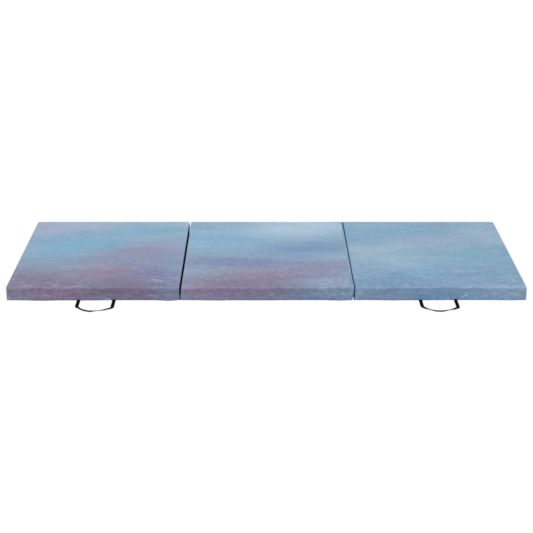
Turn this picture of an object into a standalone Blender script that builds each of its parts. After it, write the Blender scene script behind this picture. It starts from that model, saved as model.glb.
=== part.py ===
"""Folding gymnastics mat.

Three foam panels, each in its own zipped cover, lie in a row along X and fold
like an accordion. The left fold turns on a cloth strip at the underside, the
right fold on a cloth strip at the top side. A flat webbing hand loop hangs on
the front of each outer panel.

Frame: X along the mat, Y from the front (loops) to the back (zips), Z up.
The origin is the centre of the middle panel's underside. Lengths in metres.
"""

import math
from dataclasses import dataclass

import bmesh
import bpy
from mathutils import Matrix, Vector

# Whole mat
MAT_LENGTH = 1.829
MAT_WIDTH = 0.610
EDGE_THICKNESS = 0.0488
CROWN_RISE = 0.002
CROWN_SPAN = 0.200

# Cover, base cloth and foam
COVER_SKIN = 0.0012
BASE_SKIN = 0.0010
TOP_EDGE_RADIUS = 0.0040
BOTTOM_EDGE_RADIUS = 0.0035
END_CORNER_RADIUS = 0.0090
FOLD_CORNER_RADIUS = 0.0060
FRONT_DRAW_IN = 0.0010
CLEARANCE = 0.0003
FOAM_FIT = 0.0004

# Folds: how far each end wall stands back from its fold plane, at foot and head
LOW_FOLD_HEAD_INSET = 0.0035
LOW_FOLD_FOOT_INSET_LEFT = 0.0037
LOW_FOLD_FOOT_INSET_MIDDLE = 0.0004
HIGH_FOLD_HEAD_INSET = 0.0012
HIGH_FOLD_FOOT_INSET_MIDDLE = 0.0050
HIGH_FOLD_FOOT_INSET_RIGHT = 0.0012
STRIP_HALF_WIDTH = 0.0080
STRIP_SKIN = 0.0006
STRIP_VALLEY = 0.0032

# Hand loops
LEFT_HANDLE_X = -0.5993
RIGHT_HANDLE_X = 0.6037
HANDLE_SPACING = 0.124
HANDLE_REACH = 0.0858
HANDLE_APEX_SHIFT = -0.005
HANDLE_ARC_RADIUS_A = 0.062
HANDLE_ARC_RADIUS_B = 0.091
HANDLE_CORNER_RADIUS = 0.009
WEBBING_WIDTH = 0.0127
WEBBING_THICKNESS = 0.0013
WEBBING_TILT = math.radians(16.0)
WEBBING_DROP_RUN = 0.012
SEWN_END_LENGTH = 0.020
HANDLE_PIVOT_OUT = 0.0010

# Zips
ZIP_END_MARGIN = 0.045
ZIP_SLOT_HEIGHT = 0.0100
TAPE_HEIGHT = 0.0120
TAPE_THICKNESS = 0.0007
TAPE_END_RUN = 0.008
TEETH_GAP = 0.0014
TEETH_HEIGHT = 0.0026
TEETH_THICKNESS = 0.0018
STOP_LENGTH = 0.0050
SLIDER_LENGTH = 0.0110
SLIDER_HEIGHT = 0.0080
SLIDER_PLATE = 0.0010
SLIDER_NECK_LENGTH = 0.0036
SLIDER_PLAY = 0.0004
BRIDGE_LENGTH = 0.0064
BRIDGE_HEIGHT = 0.0026
BRIDGE_WIDTH = 0.0016
BRIDGE_BAR = 0.0008
PULL_LENGTH = 0.0270
PULL_WIDTH = 0.0056
PULL_THICKNESS = 0.0010
PULL_EYE_LENGTH = 0.0040
PULL_SHOULDER_RADIUS = 0.0010
PULL_HOLE_RADIUS = 0.0011
PULL_HOLE_FROM_TIP = 0.0042

# Smoothness
CORNER_STEPS = 3
SIDE_STEPS = 4
TOP_ARC_STEPS = 4
BOTTOM_ARC_STEPS = 2
CROWN_STEPS = 4
LOOP_ARC_STEPS = 7
LOOP_CORNER_STEPS = 3
WALL_STEPS = 2
VALLEY_STEPS = 4
PULL_TIP_STEPS = 6
PULL_HOLE_SIDES = 12
MIN_CORNER_RADIUS = 0.0015

PANEL_PITCH = MAT_LENGTH / 3
HALF_WIDTH = MAT_WIDTH / 2
COVER_FLOOR = BASE_SKIN + CLEARANCE
ZIP_HEIGHT = EDGE_THICKNESS / 2

COLOURS = {
    "cover": ((0.30, 0.40, 0.53), 0.80, 0.0),
    "foam": ((0.75, 0.76, 0.74), 0.95, 0.0),
    "base": ((0.020, 0.021, 0.024), 0.85, 0.0),
    "strip": ((0.035, 0.050, 0.090), 0.85, 0.0),
    "webbing": ((0.012, 0.012, 0.014), 0.70, 0.0),
    "tape": ((0.050, 0.070, 0.110), 0.85, 0.0),
    "teeth": ((0.030, 0.040, 0.070), 0.45, 0.0),
    "metal": ((0.55, 0.56, 0.58), 0.30, 1.0),
}


@dataclass(frozen=True)
class PanelEnd:
    """One end wall of a panel: what it faces, and how far it stands back from it."""

    kind: str = "open"
    foot_inset: float = 0.0
    head_inset: float = 0.0

    def inset(self, z):
        """How far the wall stands back from its end plane at a height."""
        share = z / EDGE_THICKNESS
        return self.foot_inset + (self.head_inset - self.foot_inset) * share


@dataclass(frozen=True)
class Panel:
    """One foam panel: its name, its X extent and its two end walls."""

    name: str
    x_lo: float
    x_hi: float
    lo_end: PanelEnd
    hi_end: PanelEnd


OPEN_END = PanelEnd()
PANELS = (
    Panel(
        "left", -1.5 * PANEL_PITCH, -0.5 * PANEL_PITCH, OPEN_END,
        PanelEnd("low_fold", LOW_FOLD_FOOT_INSET_LEFT, LOW_FOLD_HEAD_INSET),
    ),
    Panel(
        "middle", -0.5 * PANEL_PITCH, 0.5 * PANEL_PITCH,
        PanelEnd("low_fold", LOW_FOLD_FOOT_INSET_MIDDLE, LOW_FOLD_HEAD_INSET),
        PanelEnd("high_fold", HIGH_FOLD_FOOT_INSET_MIDDLE, HIGH_FOLD_HEAD_INSET),
    ),
    Panel(
        "right", 0.5 * PANEL_PITCH, 1.5 * PANEL_PITCH,
        PanelEnd("high_fold", HIGH_FOLD_FOOT_INSET_RIGHT, HIGH_FOLD_HEAD_INSET), OPEN_END,
    ),
)
LOW_FOLD_X = PANELS[0].x_hi
HIGH_FOLD_X = PANELS[1].x_hi
HANDLES = (("left", LEFT_HANDLE_X), ("right", RIGHT_HANDLE_X))


# Mesh tools

def make_material(name):
    """A Principled material with one of the named finishes."""
    found = bpy.data.materials.get(name)
    if found:
        return found
    colour, roughness, metallic = COLOURS[name]
    material = bpy.data.materials.new(name)
    material.use_nodes = True
    shader = material.node_tree.nodes["Principled BSDF"]
    shader.inputs["Base Color"].default_value = (*colour, 1.0)
    shader.inputs["Roughness"].default_value = roughness
    shader.inputs["Metallic"].default_value = metallic
    material.diffuse_color = (*colour, 1.0)
    return material


def add_object(name, mesh_data, finish):
    """Turn a bmesh into an object with outward faces, smooth where it is round."""
    bmesh.ops.recalc_face_normals(mesh_data, faces=mesh_data.faces)
    mesh = bpy.data.meshes.new(name)
    mesh_data.to_mesh(mesh)
    mesh_data.free()
    mesh.shade_smooth()
    mesh.set_sharp_from_angle(angle=math.radians(35.0))
    mesh.materials.append(make_material(finish))
    made = bpy.data.objects.new(name, mesh)
    bpy.context.collection.objects.link(made)
    return made


def add_plate(name, outline, y_span, finish):
    """A plate square to Y, cut to an outline of (x, z) points."""
    rings = [[Vector((x, y, z)) for x, z in outline] for y in y_span]
    return add_object(name, skin_rings(rings), finish)


def add_box(name, low, high, finish):
    """A block between two opposite corners."""
    low, high = Vector(low), Vector(high)
    block = bmesh.new()
    bmesh.ops.create_cube(block, size=1.0)
    size = high - low
    bmesh.ops.transform(
        block,
        matrix=Matrix.Translation((low + high) / 2) @ Matrix.Diagonal((*size, 1.0)),
        verts=block.verts,
    )
    return add_object(name, block, finish)


def hide_guide(guide):
    """Mark a cutter or a fused block as a guide that is no piece of the mat."""
    guide.hide_render = True
    guide.display_type = "WIRE"


def combine(target, tools, operation):
    """Cut the tools out of the target, or fuse them with it."""
    for tool in tools:
        step = target.modifiers.new(tool.name, "BOOLEAN")
        step.object = tool
        step.operation = operation
        step.solver = "EXACT"
        hide_guide(tool)


def skin_rings(rings):
    """Join rings of equal point count into one closed surface with two caps."""
    mesh_data = bmesh.new()
    loops = [[mesh_data.verts.new(point) for point in ring] for ring in rings]
    for lower, upper in zip(loops, loops[1:]):
        count = len(lower)
        for index in range(count):
            following = (index + 1) % count
            mesh_data.faces.new((lower[index], lower[following], upper[following], upper[index]))
    mesh_data.faces.new(reversed(loops[0]))
    mesh_data.faces.new(loops[-1])
    return mesh_data


def side_points(start, end, inward, bow):
    """Points between two corners, drawn in along a parabola."""
    points = []
    for step in range(1, SIDE_STEPS):
        share = step / SIDE_STEPS
        pull = bow * (1.0 - (2.0 * share - 1.0) ** 2)
        points.append(start.lerp(end, share) + inward * pull)
    return points


def rounded_ring(x_span, y_span, z, radii, bows):
    """A level rounded rectangle, anticlockwise from the low front corner.

    radii and bows go low front, high front, high back, low back and
    front, high, back, low.
    """
    (x_lo, x_hi), (y_lo, y_hi) = x_span, y_span
    corners = (
        (Vector((x_lo, y_lo, z)), Vector((1, 1, 0)), 180.0),
        (Vector((x_hi, y_lo, z)), Vector((-1, 1, 0)), 270.0),
        (Vector((x_hi, y_hi, z)), Vector((-1, -1, 0)), 0.0),
        (Vector((x_lo, y_hi, z)), Vector((1, -1, 0)), 90.0),
    )
    arcs = []
    for (corner, inward, first_angle), radius in zip(corners, radii):
        centre = corner + inward * radius
        arc = []
        for step in range(CORNER_STEPS + 1):
            angle = math.radians(first_angle + 90.0 * step / CORNER_STEPS)
            arc.append(centre + Vector((math.cos(angle), math.sin(angle), 0)) * radius)
        arcs.append(arc)
    inwards = (Vector((0, 1, 0)), Vector((-1, 0, 0)), Vector((0, -1, 0)), Vector((1, 0, 0)))
    points = []
    for index, arc in enumerate(arcs):
        next_arc = arcs[(index + 1) % 4]
        points += arc
        points += side_points(arc[-1], next_arc[0], inwards[index], bows[index])
    return points


# Panels

def bottom_angle(offset, floor_z):
    """Angle on the bottom edge's arc at which a skin of this offset meets a level."""
    radius = BOTTOM_EDGE_RADIUS - offset
    return math.acos(min(1.0, (BOTTOM_EDGE_RADIUS - floor_z) / radius))


def wall_section(offset, floor_z):
    """Inset and height of a panel's side, from the floor to the edge of the top."""
    low_radius = BOTTOM_EDGE_RADIUS - offset
    top_radius = TOP_EDGE_RADIUS - offset
    start = bottom_angle(offset, floor_z)
    section = []
    for step in range(BOTTOM_ARC_STEPS + 1):
        angle = start + (math.pi / 2 - start) * step / BOTTOM_ARC_STEPS
        inset = BOTTOM_EDGE_RADIUS - low_radius * math.sin(angle)
        section.append((inset, BOTTOM_EDGE_RADIUS - low_radius * math.cos(angle)))
    wall_run = EDGE_THICKNESS - TOP_EDGE_RADIUS - BOTTOM_EDGE_RADIUS
    for step in range(1, WALL_STEPS):
        section.append((offset, BOTTOM_EDGE_RADIUS + wall_run * step / WALL_STEPS))
    for step in range(TOP_ARC_STEPS + 1):
        angle = math.pi / 2 * step / TOP_ARC_STEPS
        inset = TOP_EDGE_RADIUS - top_radius * math.cos(angle)
        z = EDGE_THICKNESS - TOP_EDGE_RADIUS + top_radius * math.sin(angle)
        section.append((inset, z))
    return section


def crown_section(offset):
    """Inset and height of the padded top, from its edge to its middle."""
    section = []
    for step in range(1, CROWN_STEPS + 1):
        share = step / CROWN_STEPS
        inset = TOP_EDGE_RADIUS + (CROWN_SPAN - TOP_EDGE_RADIUS) * share ** 1.5
        rise = CROWN_RISE * (1.0 - (1.0 - share ** 1.5) ** 2)
        section.append((inset, EDGE_THICKNESS - offset + rise))
    return section


def corner_radii(panel, open_radius, fold_radius):
    """Plan radii of a panel's corners: low front, high front, high back, low back."""
    ends = (panel.lo_end, panel.hi_end, panel.hi_end, panel.lo_end)
    return [open_radius if end is OPEN_END else fold_radius for end in ends]


def panel_rings(panel, offset, floor_z, back_offset=0.0):
    """Rings of a panel's surface, moved inwards by an offset."""
    plan_radii = corner_radii(panel, END_CORNER_RADIUS, FOLD_CORNER_RADIUS)
    bows = (FRONT_DRAW_IN, 0.0, 0.0, 0.0)
    rings = []
    for inset, z in wall_section(offset, floor_z) + crown_section(offset):
        x_lo = panel.x_lo + inset + panel.lo_end.inset(z)
        x_hi = panel.x_hi - inset - panel.hi_end.inset(z)
        y_span = (-HALF_WIDTH + inset, HALF_WIDTH - inset - back_offset)
        radii = [max(MIN_CORNER_RADIUS, radius - inset) for radius in plan_radii]
        rings.append(rounded_ring((x_lo, x_hi), y_span, z, radii, bows))
    return rings


def make_cover(panel, cutters):
    """Printed cover: a crowned box of cloth, open below, with its zip slot."""
    inner = panel_rings(panel, COVER_SKIN, COVER_FLOOR)
    outer = panel_rings(panel, 0.0, COVER_FLOOR)
    cover = add_object(f"cover_{panel.name}", skin_rings(inner[::-1] + outer), "cover")
    combine(cover, cutters, "DIFFERENCE")
    return cover


def zip_depth():
    """How far the zip reaches inwards from the cover's inner face."""
    return CLEARANCE + TAPE_THICKNESS + SLIDER_PLAY + SLIDER_PLATE


def make_foam(panel, cutters):
    """Foam slab that fills the cover, short of the zip at the back."""
    offset = COVER_SKIN + FOAM_FIT
    rings = panel_rings(panel, offset, BASE_SKIN + FOAM_FIT, zip_depth())
    foam = add_object(f"foam_{panel.name}", skin_rings(rings), "foam")
    combine(foam, cutters, "DIFFERENCE")
    return foam


def rim_inset():
    """How far the cover's lower rim lies inside the panel's outline."""
    return wall_section(0.0, COVER_FLOOR)[0][0]


def base_end(end, x, direction):
    """X of a base cloth's end: at the fold strip, or under the cover's rim."""
    if end.kind == "low_fold":
        return x + direction * STRIP_HALF_WIDTH
    return x + direction * (rim_inset() + end.foot_inset + CLEARANCE)


def base_half_width():
    """Half of the base cloth's size from front to back."""
    return HALF_WIDTH - rim_inset() - FRONT_DRAW_IN


def make_base(panel):
    """Dark cloth that closes the cover below and lies on the floor."""
    x_span = (base_end(panel.lo_end, panel.x_lo, 1), base_end(panel.hi_end, panel.x_hi, -1))
    half = base_half_width()
    radii = corner_radii(panel, END_CORNER_RADIUS - BOTTOM_EDGE_RADIUS, MIN_CORNER_RADIUS)
    rings = [rounded_ring(x_span, (-half, half), z, radii, (0, 0, 0, 0)) for z in (0.0, BASE_SKIN)]
    return add_object(f"base_{panel.name}", skin_rings(rings), "base")


# Fold strips

def make_low_strip():
    """Flat hinge cloth of the left fold, between the two base cloths."""
    half_run = STRIP_HALF_WIDTH - CLEARANCE
    low = (LOW_FOLD_X - half_run, -base_half_width(), CLEARANCE)
    high = (LOW_FOLD_X + half_run, base_half_width(), BASE_SKIN)
    return add_box("hinge_strip_left", low, high, "strip")


def make_high_strip():
    """Hinge cloth of the right fold, sunk as a valley between the two top edges."""
    valley_run = HIGH_FOLD_HEAD_INSET + TOP_EDGE_RADIUS
    seat = EDGE_THICKNESS + CLEARANCE
    half = []
    for step in range(VALLEY_STEPS + 1):
        share = step / VALLEY_STEPS
        half.append((share * valley_run, seat - STRIP_VALLEY * (1.0 - share) ** 2))
    half.append((STRIP_HALF_WIDTH, seat))
    lower = [(HIGH_FOLD_X - out, z) for out, z in reversed(half[1:])]
    lower += [(HIGH_FOLD_X + out, z) for out, z in half]
    upper = [(x, z + STRIP_SKIN) for x, z in reversed(lower)]
    half_length = HALF_WIDTH - TOP_EDGE_RADIUS
    rings = []
    for y in (-half_length, half_length):
        rings.append([Vector((x, y, z)) for x, z in lower + upper])
    return add_object("hinge_strip_right", skin_rings(rings), "strip")


# Hand loops

def webbing_mid_height():
    """Height of the webbing's middle plane where it comes out of the seam."""
    return COVER_FLOOR + WEBBING_THICKNESS / 2


def blended_corner(before, corner, after):
    """A quadratic curve that rounds one corner of the loop's centre line."""
    points = []
    for step in range(LOOP_CORNER_STEPS + 1):
        share = step / LOOP_CORNER_STEPS
        points.append(before.lerp(corner, share).lerp(corner.lerp(after, share), share))
    return points


def loop_half(side, radius):
    """Half of the loop's centre line, as (across, outward), from seam to apex."""
    leg = side * HANDLE_SPACING / 2
    span = abs(leg - HANDLE_APEX_SHIFT)
    centre_out = HANDLE_REACH - radius
    edge_angle = math.asin(min(0.95, span / radius))
    corner = Vector((leg, centre_out + radius * math.cos(edge_angle)))
    turn = HANDLE_CORNER_RADIUS / radius

    def arc_point(angle):
        across = HANDLE_APEX_SHIFT + side * radius * math.sin(angle)
        return Vector((across, centre_out + radius * math.cos(angle)))

    leg_end = corner - Vector((0, HANDLE_CORNER_RADIUS))
    points = [Vector((leg, HANDLE_PIVOT_OUT + CLEARANCE)), Vector((leg, WEBBING_DROP_RUN / 2))]
    points.append(Vector((leg, WEBBING_DROP_RUN)))
    points.append(Vector((leg, (WEBBING_DROP_RUN + leg_end.y) / 2)))
    points += blended_corner(leg_end, corner, arc_point(edge_angle - turn))
    for step in range(1, LOOP_ARC_STEPS):
        points.append(arc_point((edge_angle - turn) * (1.0 - step / LOOP_ARC_STEPS)))
    return points


def loop_centre_line():
    """The whole loop's centre line, as (across, outward)."""
    first = loop_half(-1, HANDLE_ARC_RADIUS_A)
    second = loop_half(1, HANDLE_ARC_RADIUS_B)
    return first + [Vector((HANDLE_APEX_SHIFT, HANDLE_REACH))] + second[::-1]


def webbing_tilt(out):
    """How far the strap leans outwards: level on its legs and at the apex."""
    leg_reach = HANDLE_REACH / 2
    share = min(1.0, max(0.0, (out - leg_reach) / (HANDLE_REACH - leg_reach)))
    return WEBBING_TILT * math.sin(math.pi * share)


def webbing_height(out):
    """Height of the strap's middle plane: from the seam down to the floor."""
    lying = CLEARANCE + WEBBING_THICKNESS / 2
    share = min(1.0, max(0.0, out / WEBBING_DROP_RUN))
    ease = share * share * (3.0 - 2.0 * share)
    return webbing_mid_height() + (lying - webbing_mid_height()) * ease


def make_handle(name, centre_x):
    """Flat webbing loop that lies on the floor in front of an outer panel."""
    line = loop_centre_line()
    rings = []
    for index, point in enumerate(line):
        ahead = line[min(index + 1, len(line) - 1)]
        behind = line[max(index - 1, 0)]
        along = (ahead - behind).normalized()
        outward = Vector((-along.y, along.x))
        tilt = webbing_tilt(point.y)
        rise = math.sin(tilt) * WEBBING_WIDTH / 2
        reach = math.cos(tilt) * WEBBING_WIDTH / 2
        middle = Vector((centre_x + point.x, -HALF_WIDTH - point.y, webbing_height(point.y) + rise))
        across = Vector((outward.x, -outward.y, 0)) * reach + Vector((0, 0, rise))
        thick = Vector((0, 0, WEBBING_THICKNESS / 2))
        rings.append([
            middle - across - thick,
            middle + across - thick,
            middle + across + thick,
            middle - across + thick,
        ])
    return add_object(f"handle_{name}", skin_rings(rings), "webbing")


def sewn_end_span(centre_x, side, margin):
    """Corners of one sewn-in webbing end, grown by a margin."""
    leg = centre_x + side * HANDLE_SPACING / 2
    half = WEBBING_WIDTH / 2 + margin
    low = (leg - half, -HALF_WIDTH + CLEARANCE / 2 - margin, COVER_FLOOR - margin)
    high = (leg + half, -HALF_WIDTH + SEWN_END_LENGTH + margin, COVER_FLOOR + WEBBING_THICKNESS + margin)
    return low, high


def make_sewn_ends(name, centre_x):
    """The two webbing ends in the front seam, and the pockets they need."""
    pockets = []
    for letter, side in (("a", -1), ("b", 1)):
        low, high = sewn_end_span(centre_x, side, 0.0)
        add_box(f"handle_{name}_end_{letter}", low, high, "webbing")
        low, high = sewn_end_span(centre_x, side, CLEARANCE)
        low = (low[0], low[1] - BOTTOM_EDGE_RADIUS, low[2] - BASE_SKIN)
        pockets.append(add_box(f"pocket_{name}_{letter}", low, high, "webbing"))
    return pockets


# Zips

def tape_face():
    """Y of the zip tapes' outer face, just behind the cover."""
    return HALF_WIDTH - COVER_SKIN - CLEARANCE


def chain_span(panel):
    """X of the first and the last tooth of a panel's zip."""
    return panel.x_lo + ZIP_END_MARGIN, panel.x_hi - ZIP_END_MARGIN


def make_zip_slot(panel):
    """Guide for the slot in the cover's back wall."""
    start, end = chain_span(panel)
    half = ZIP_SLOT_HEIGHT / 2
    low = (start - CLEARANCE, HALF_WIDTH - COVER_SKIN - zip_depth(), ZIP_HEIGHT - half)
    high = (end + CLEARANCE, HALF_WIDTH + COVER_SKIN, ZIP_HEIGHT + half)
    return add_box(f"zip_slot_{panel.name}", low, high, "tape")


def make_zip_rows(panel):
    """The two tapes and the two rows of teeth, above and below the middle."""
    start, end = chain_span(panel)
    back = tape_face()
    for side, word in ((1, "upper"), (-1, "lower")):
        near = ZIP_HEIGHT + side * TEETH_GAP / 2
        far = near + side * TAPE_HEIGHT
        low = (start - TAPE_END_RUN, back - TAPE_THICKNESS, min(near, far))
        high = (end + TAPE_END_RUN, back, max(near, far))
        add_box(f"zip_{panel.name}_tape_{word}", low, high, "tape")
        far = near + side * TEETH_HEIGHT
        run = STOP_LENGTH + CLEARANCE
        low = (start + run, back + CLEARANCE, min(near, far))
        high = (end - run, back + CLEARANCE + TEETH_THICKNESS, max(near, far))
        add_box(f"zip_{panel.name}_teeth_{word}", low, high, "teeth")


def make_zip_stops(panel):
    """A stop across both rows at each end of the chain."""
    start, end = chain_span(panel)
    half = TEETH_GAP / 2 + TEETH_HEIGHT
    face = tape_face() + CLEARANCE
    for word, x in (("start", start), ("end", end - STOP_LENGTH)):
        low = (x, face, ZIP_HEIGHT - half)
        high = (x + STOP_LENGTH, face + TEETH_THICKNESS, ZIP_HEIGHT + half)
        add_box(f"zip_{panel.name}_stop_{word}", low, high, "metal")


def slider_rest_x(panel):
    """X of the slider's middle when the zip is closed."""
    return chain_span(panel)[1] - STOP_LENGTH - CLEARANCE - SLIDER_LENGTH / 2 - SLIDER_PLAY


def slider_front():
    """Y of the slider's outer face."""
    return tape_face() + CLEARANCE + TEETH_THICKNESS + SLIDER_PLAY + SLIDER_PLATE


def pull_pivot_y():
    """Y of the pull tab's turning axis, in the middle of the bridge's hole."""
    return slider_front() + (BRIDGE_HEIGHT - BRIDGE_BAR) / 2


def slider_outline(x):
    """Shield outline of the slider's plates: broad shoulders, a narrower mouth."""
    upper = ((-0.50, 0.30), (-0.42, 0.42), (0.15, 0.50), (0.38, 0.42), (0.50, 0.20))
    half = [(x + along * SLIDER_LENGTH, up * SLIDER_HEIGHT) for along, up in upper]
    outline = [(px, ZIP_HEIGHT + up) for px, up in half]
    return outline + [(px, ZIP_HEIGHT - up) for px, up in reversed(half)]


def make_slider(panel):
    """Slider: plates in front of and behind the chain, a neck and a bridge."""
    name = f"zip_{panel.name}_slider"
    x = slider_rest_x(panel)
    front = slider_front()
    back = tape_face() - TAPE_THICKNESS - SLIDER_PLAY
    half_length = SLIDER_LENGTH / 2
    neck_half = TEETH_GAP / 2 - CLEARANCE
    overlap = SLIDER_PLATE / 2
    outline = slider_outline(x)
    slider = add_plate(name, outline, (front - SLIDER_PLATE, front), "metal")
    back_plate = add_plate(f"{name}_back", outline, (back - SLIDER_PLATE, back), "metal")
    neck = add_box(
        f"{name}_neck",
        (x + half_length - SLIDER_NECK_LENGTH, back - overlap, ZIP_HEIGHT - neck_half),
        (x + half_length - overlap, front - overlap, ZIP_HEIGHT + neck_half),
        "metal",
    )
    bridge = add_box(
        f"{name}_bridge",
        (x - BRIDGE_LENGTH / 2, front - overlap, ZIP_HEIGHT - BRIDGE_WIDTH / 2),
        (x + BRIDGE_LENGTH / 2, front + BRIDGE_HEIGHT, ZIP_HEIGHT + BRIDGE_WIDTH / 2),
        "metal",
    )
    hole = add_box(
        f"{name}_hole",
        (x - BRIDGE_LENGTH / 2 + BRIDGE_BAR, front, ZIP_HEIGHT - BRIDGE_WIDTH),
        (x + BRIDGE_LENGTH / 2 - BRIDGE_BAR, front + BRIDGE_HEIGHT - BRIDGE_BAR, ZIP_HEIGHT + BRIDGE_WIDTH),
        "metal",
    )
    combine(bridge, [hole], "DIFFERENCE")
    combine(slider, [back_plate, neck, bridge], "UNION")
    return slider


def pull_outline():
    """Outline of the pull tab: small shoulders at the eye and a round tip."""
    half_width = PULL_WIDTH / 2
    root = PULL_THICKNESS / 2
    outline = [(root, -half_width + PULL_SHOULDER_RADIUS), (root, half_width - PULL_SHOULDER_RADIUS)]
    outline.append((root - PULL_SHOULDER_RADIUS, half_width))
    tip_centre = -PULL_LENGTH + half_width
    for step in range(PULL_TIP_STEPS + 1):
        angle = math.pi / 2 + math.pi * step / PULL_TIP_STEPS
        outline.append((tip_centre + half_width * math.cos(angle), half_width * math.sin(angle)))
    outline.append((root - PULL_SHOULDER_RADIUS, -half_width))
    return outline


def add_tip_hole(name):
    """Guide for the round hole near the pull tab's tip."""
    drill = bmesh.new()
    bmesh.ops.create_cone(
        drill, cap_ends=True, segments=PULL_HOLE_SIDES, radius1=PULL_HOLE_RADIUS,
        radius2=PULL_HOLE_RADIUS, depth=PULL_THICKNESS * 3,
    )
    turned = Matrix.Rotation(math.pi / 2, 4, "X")
    placed = Matrix.Translation((PULL_HOLE_FROM_TIP - PULL_LENGTH, 0, 0))
    bmesh.ops.transform(drill, matrix=placed @ turned, verts=drill.verts)
    return add_object(name, drill, "metal")


def make_pull(panel):
    """Pull tab with an eye round the slider's bridge; it turns on a Z axis."""
    name = f"zip_{panel.name}_pull"
    pivot = bpy.data.objects.new(f"{name}_axis", None)
    bpy.context.collection.objects.link(pivot)
    pivot.location = (slider_rest_x(panel), pull_pivot_y(), ZIP_HEIGHT)
    half_thick = PULL_THICKNESS / 2
    eye_half = BRIDGE_WIDTH / 2 + CLEARANCE
    tab = add_plate(name, pull_outline(), (-half_thick, half_thick), "metal")
    eye = add_box(
        f"{name}_eye",
        (-PULL_EYE_LENGTH - half_thick, -PULL_THICKNESS, -eye_half),
        (-half_thick, PULL_THICKNESS, eye_half),
        "metal",
    )
    tip_hole = add_tip_hole(f"{name}_hole")
    combine(tab, [eye, tip_hole], "DIFFERENCE")
    for piece in (tab, eye, tip_hole):
        piece.parent = pivot
    return tab


def clear_scene():
    """Remove whatever the file holds."""
    for found in list(bpy.data.objects):
        bpy.data.objects.remove(found, do_unlink=True)


def build_mat():
    """Make every piece of the mat."""
    clear_scene()
    pockets = {name: make_sewn_ends(name, x) for name, x in HANDLES}
    for panel in PANELS:
        panel_pockets = pockets.get(panel.name, [])
        make_cover(panel, [make_zip_slot(panel)] + panel_pockets)
        make_foam(panel, panel_pockets)
        make_base(panel)
        make_zip_rows(panel)
        make_zip_stops(panel)
        make_slider(panel)
        make_pull(panel)
    make_low_strip()
    make_high_strip()
    for name, centre_x in HANDLES:
        make_handle(name, centre_x)


build_mat()
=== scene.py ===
"""Looks of a three-panel folding gymnastics mat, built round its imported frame.

Frame: X along the mat, Y from the front (loops) to the back (zips), Z up,
lengths in metres, the origin in the middle of the middle panel's underside.
"""

import logging
import math
from collections.abc import Mapping, Sequence
from dataclasses import dataclass, field
from enum import Enum
from typing import Any, ClassVar

import bpy
import numpy as np
from mathutils import Matrix, Vector, noise
from mathutils.bvhtree import BVHTree
from mathutils.interpolate import poly_3d_calc


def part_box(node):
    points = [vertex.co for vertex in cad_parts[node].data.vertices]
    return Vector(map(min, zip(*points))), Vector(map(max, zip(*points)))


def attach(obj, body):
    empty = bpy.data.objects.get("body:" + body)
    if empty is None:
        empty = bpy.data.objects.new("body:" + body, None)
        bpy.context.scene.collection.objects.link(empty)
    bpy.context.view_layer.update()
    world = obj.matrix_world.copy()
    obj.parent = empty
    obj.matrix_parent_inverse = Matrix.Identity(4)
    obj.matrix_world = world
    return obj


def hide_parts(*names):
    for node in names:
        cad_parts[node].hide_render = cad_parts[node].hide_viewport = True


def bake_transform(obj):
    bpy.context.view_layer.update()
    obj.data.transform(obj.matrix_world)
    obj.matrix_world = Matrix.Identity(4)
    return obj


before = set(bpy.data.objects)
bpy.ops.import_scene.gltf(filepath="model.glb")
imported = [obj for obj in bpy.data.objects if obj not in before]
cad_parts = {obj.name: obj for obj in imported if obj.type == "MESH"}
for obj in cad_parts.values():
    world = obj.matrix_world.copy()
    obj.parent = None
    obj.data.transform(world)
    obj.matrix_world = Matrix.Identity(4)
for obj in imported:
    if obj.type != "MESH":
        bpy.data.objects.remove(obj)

LOG = logging.getLogger("mat")
UV_NAME = "cloth"
# Name of the points' share of rubbed wear and painted highlight along the rounded edges.
WEAR_AND_HIGHLIGHT_NAME = "edge_wear_and_highlight"
SCREEN_STEPS = 255
DARK_END, DARK_SLOPE = 0.04045, 12.92
CURVE_SHIFT, CURVE_SPAN, CURVE_POWER = 0.055, 1.055, 2.4


# Shader tools


@dataclass(frozen=True)
class Shade:
    """A colour as a screen shows it, 0 to 255 for red, green and blue."""

    red: float
    green: float
    blue: float

    def linear(self) -> tuple[float, float, float, float]:
        """Return the colour as linear light with full alpha."""
        parts = [value / SCREEN_STEPS for value in (self.red, self.green, self.blue)]
        light = [
            part / DARK_SLOPE if part <= DARK_END else ((part + CURVE_SHIFT) / CURVE_SPAN) ** CURVE_POWER
            for part in parts
        ]
        return (*light, 1.0)


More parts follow.
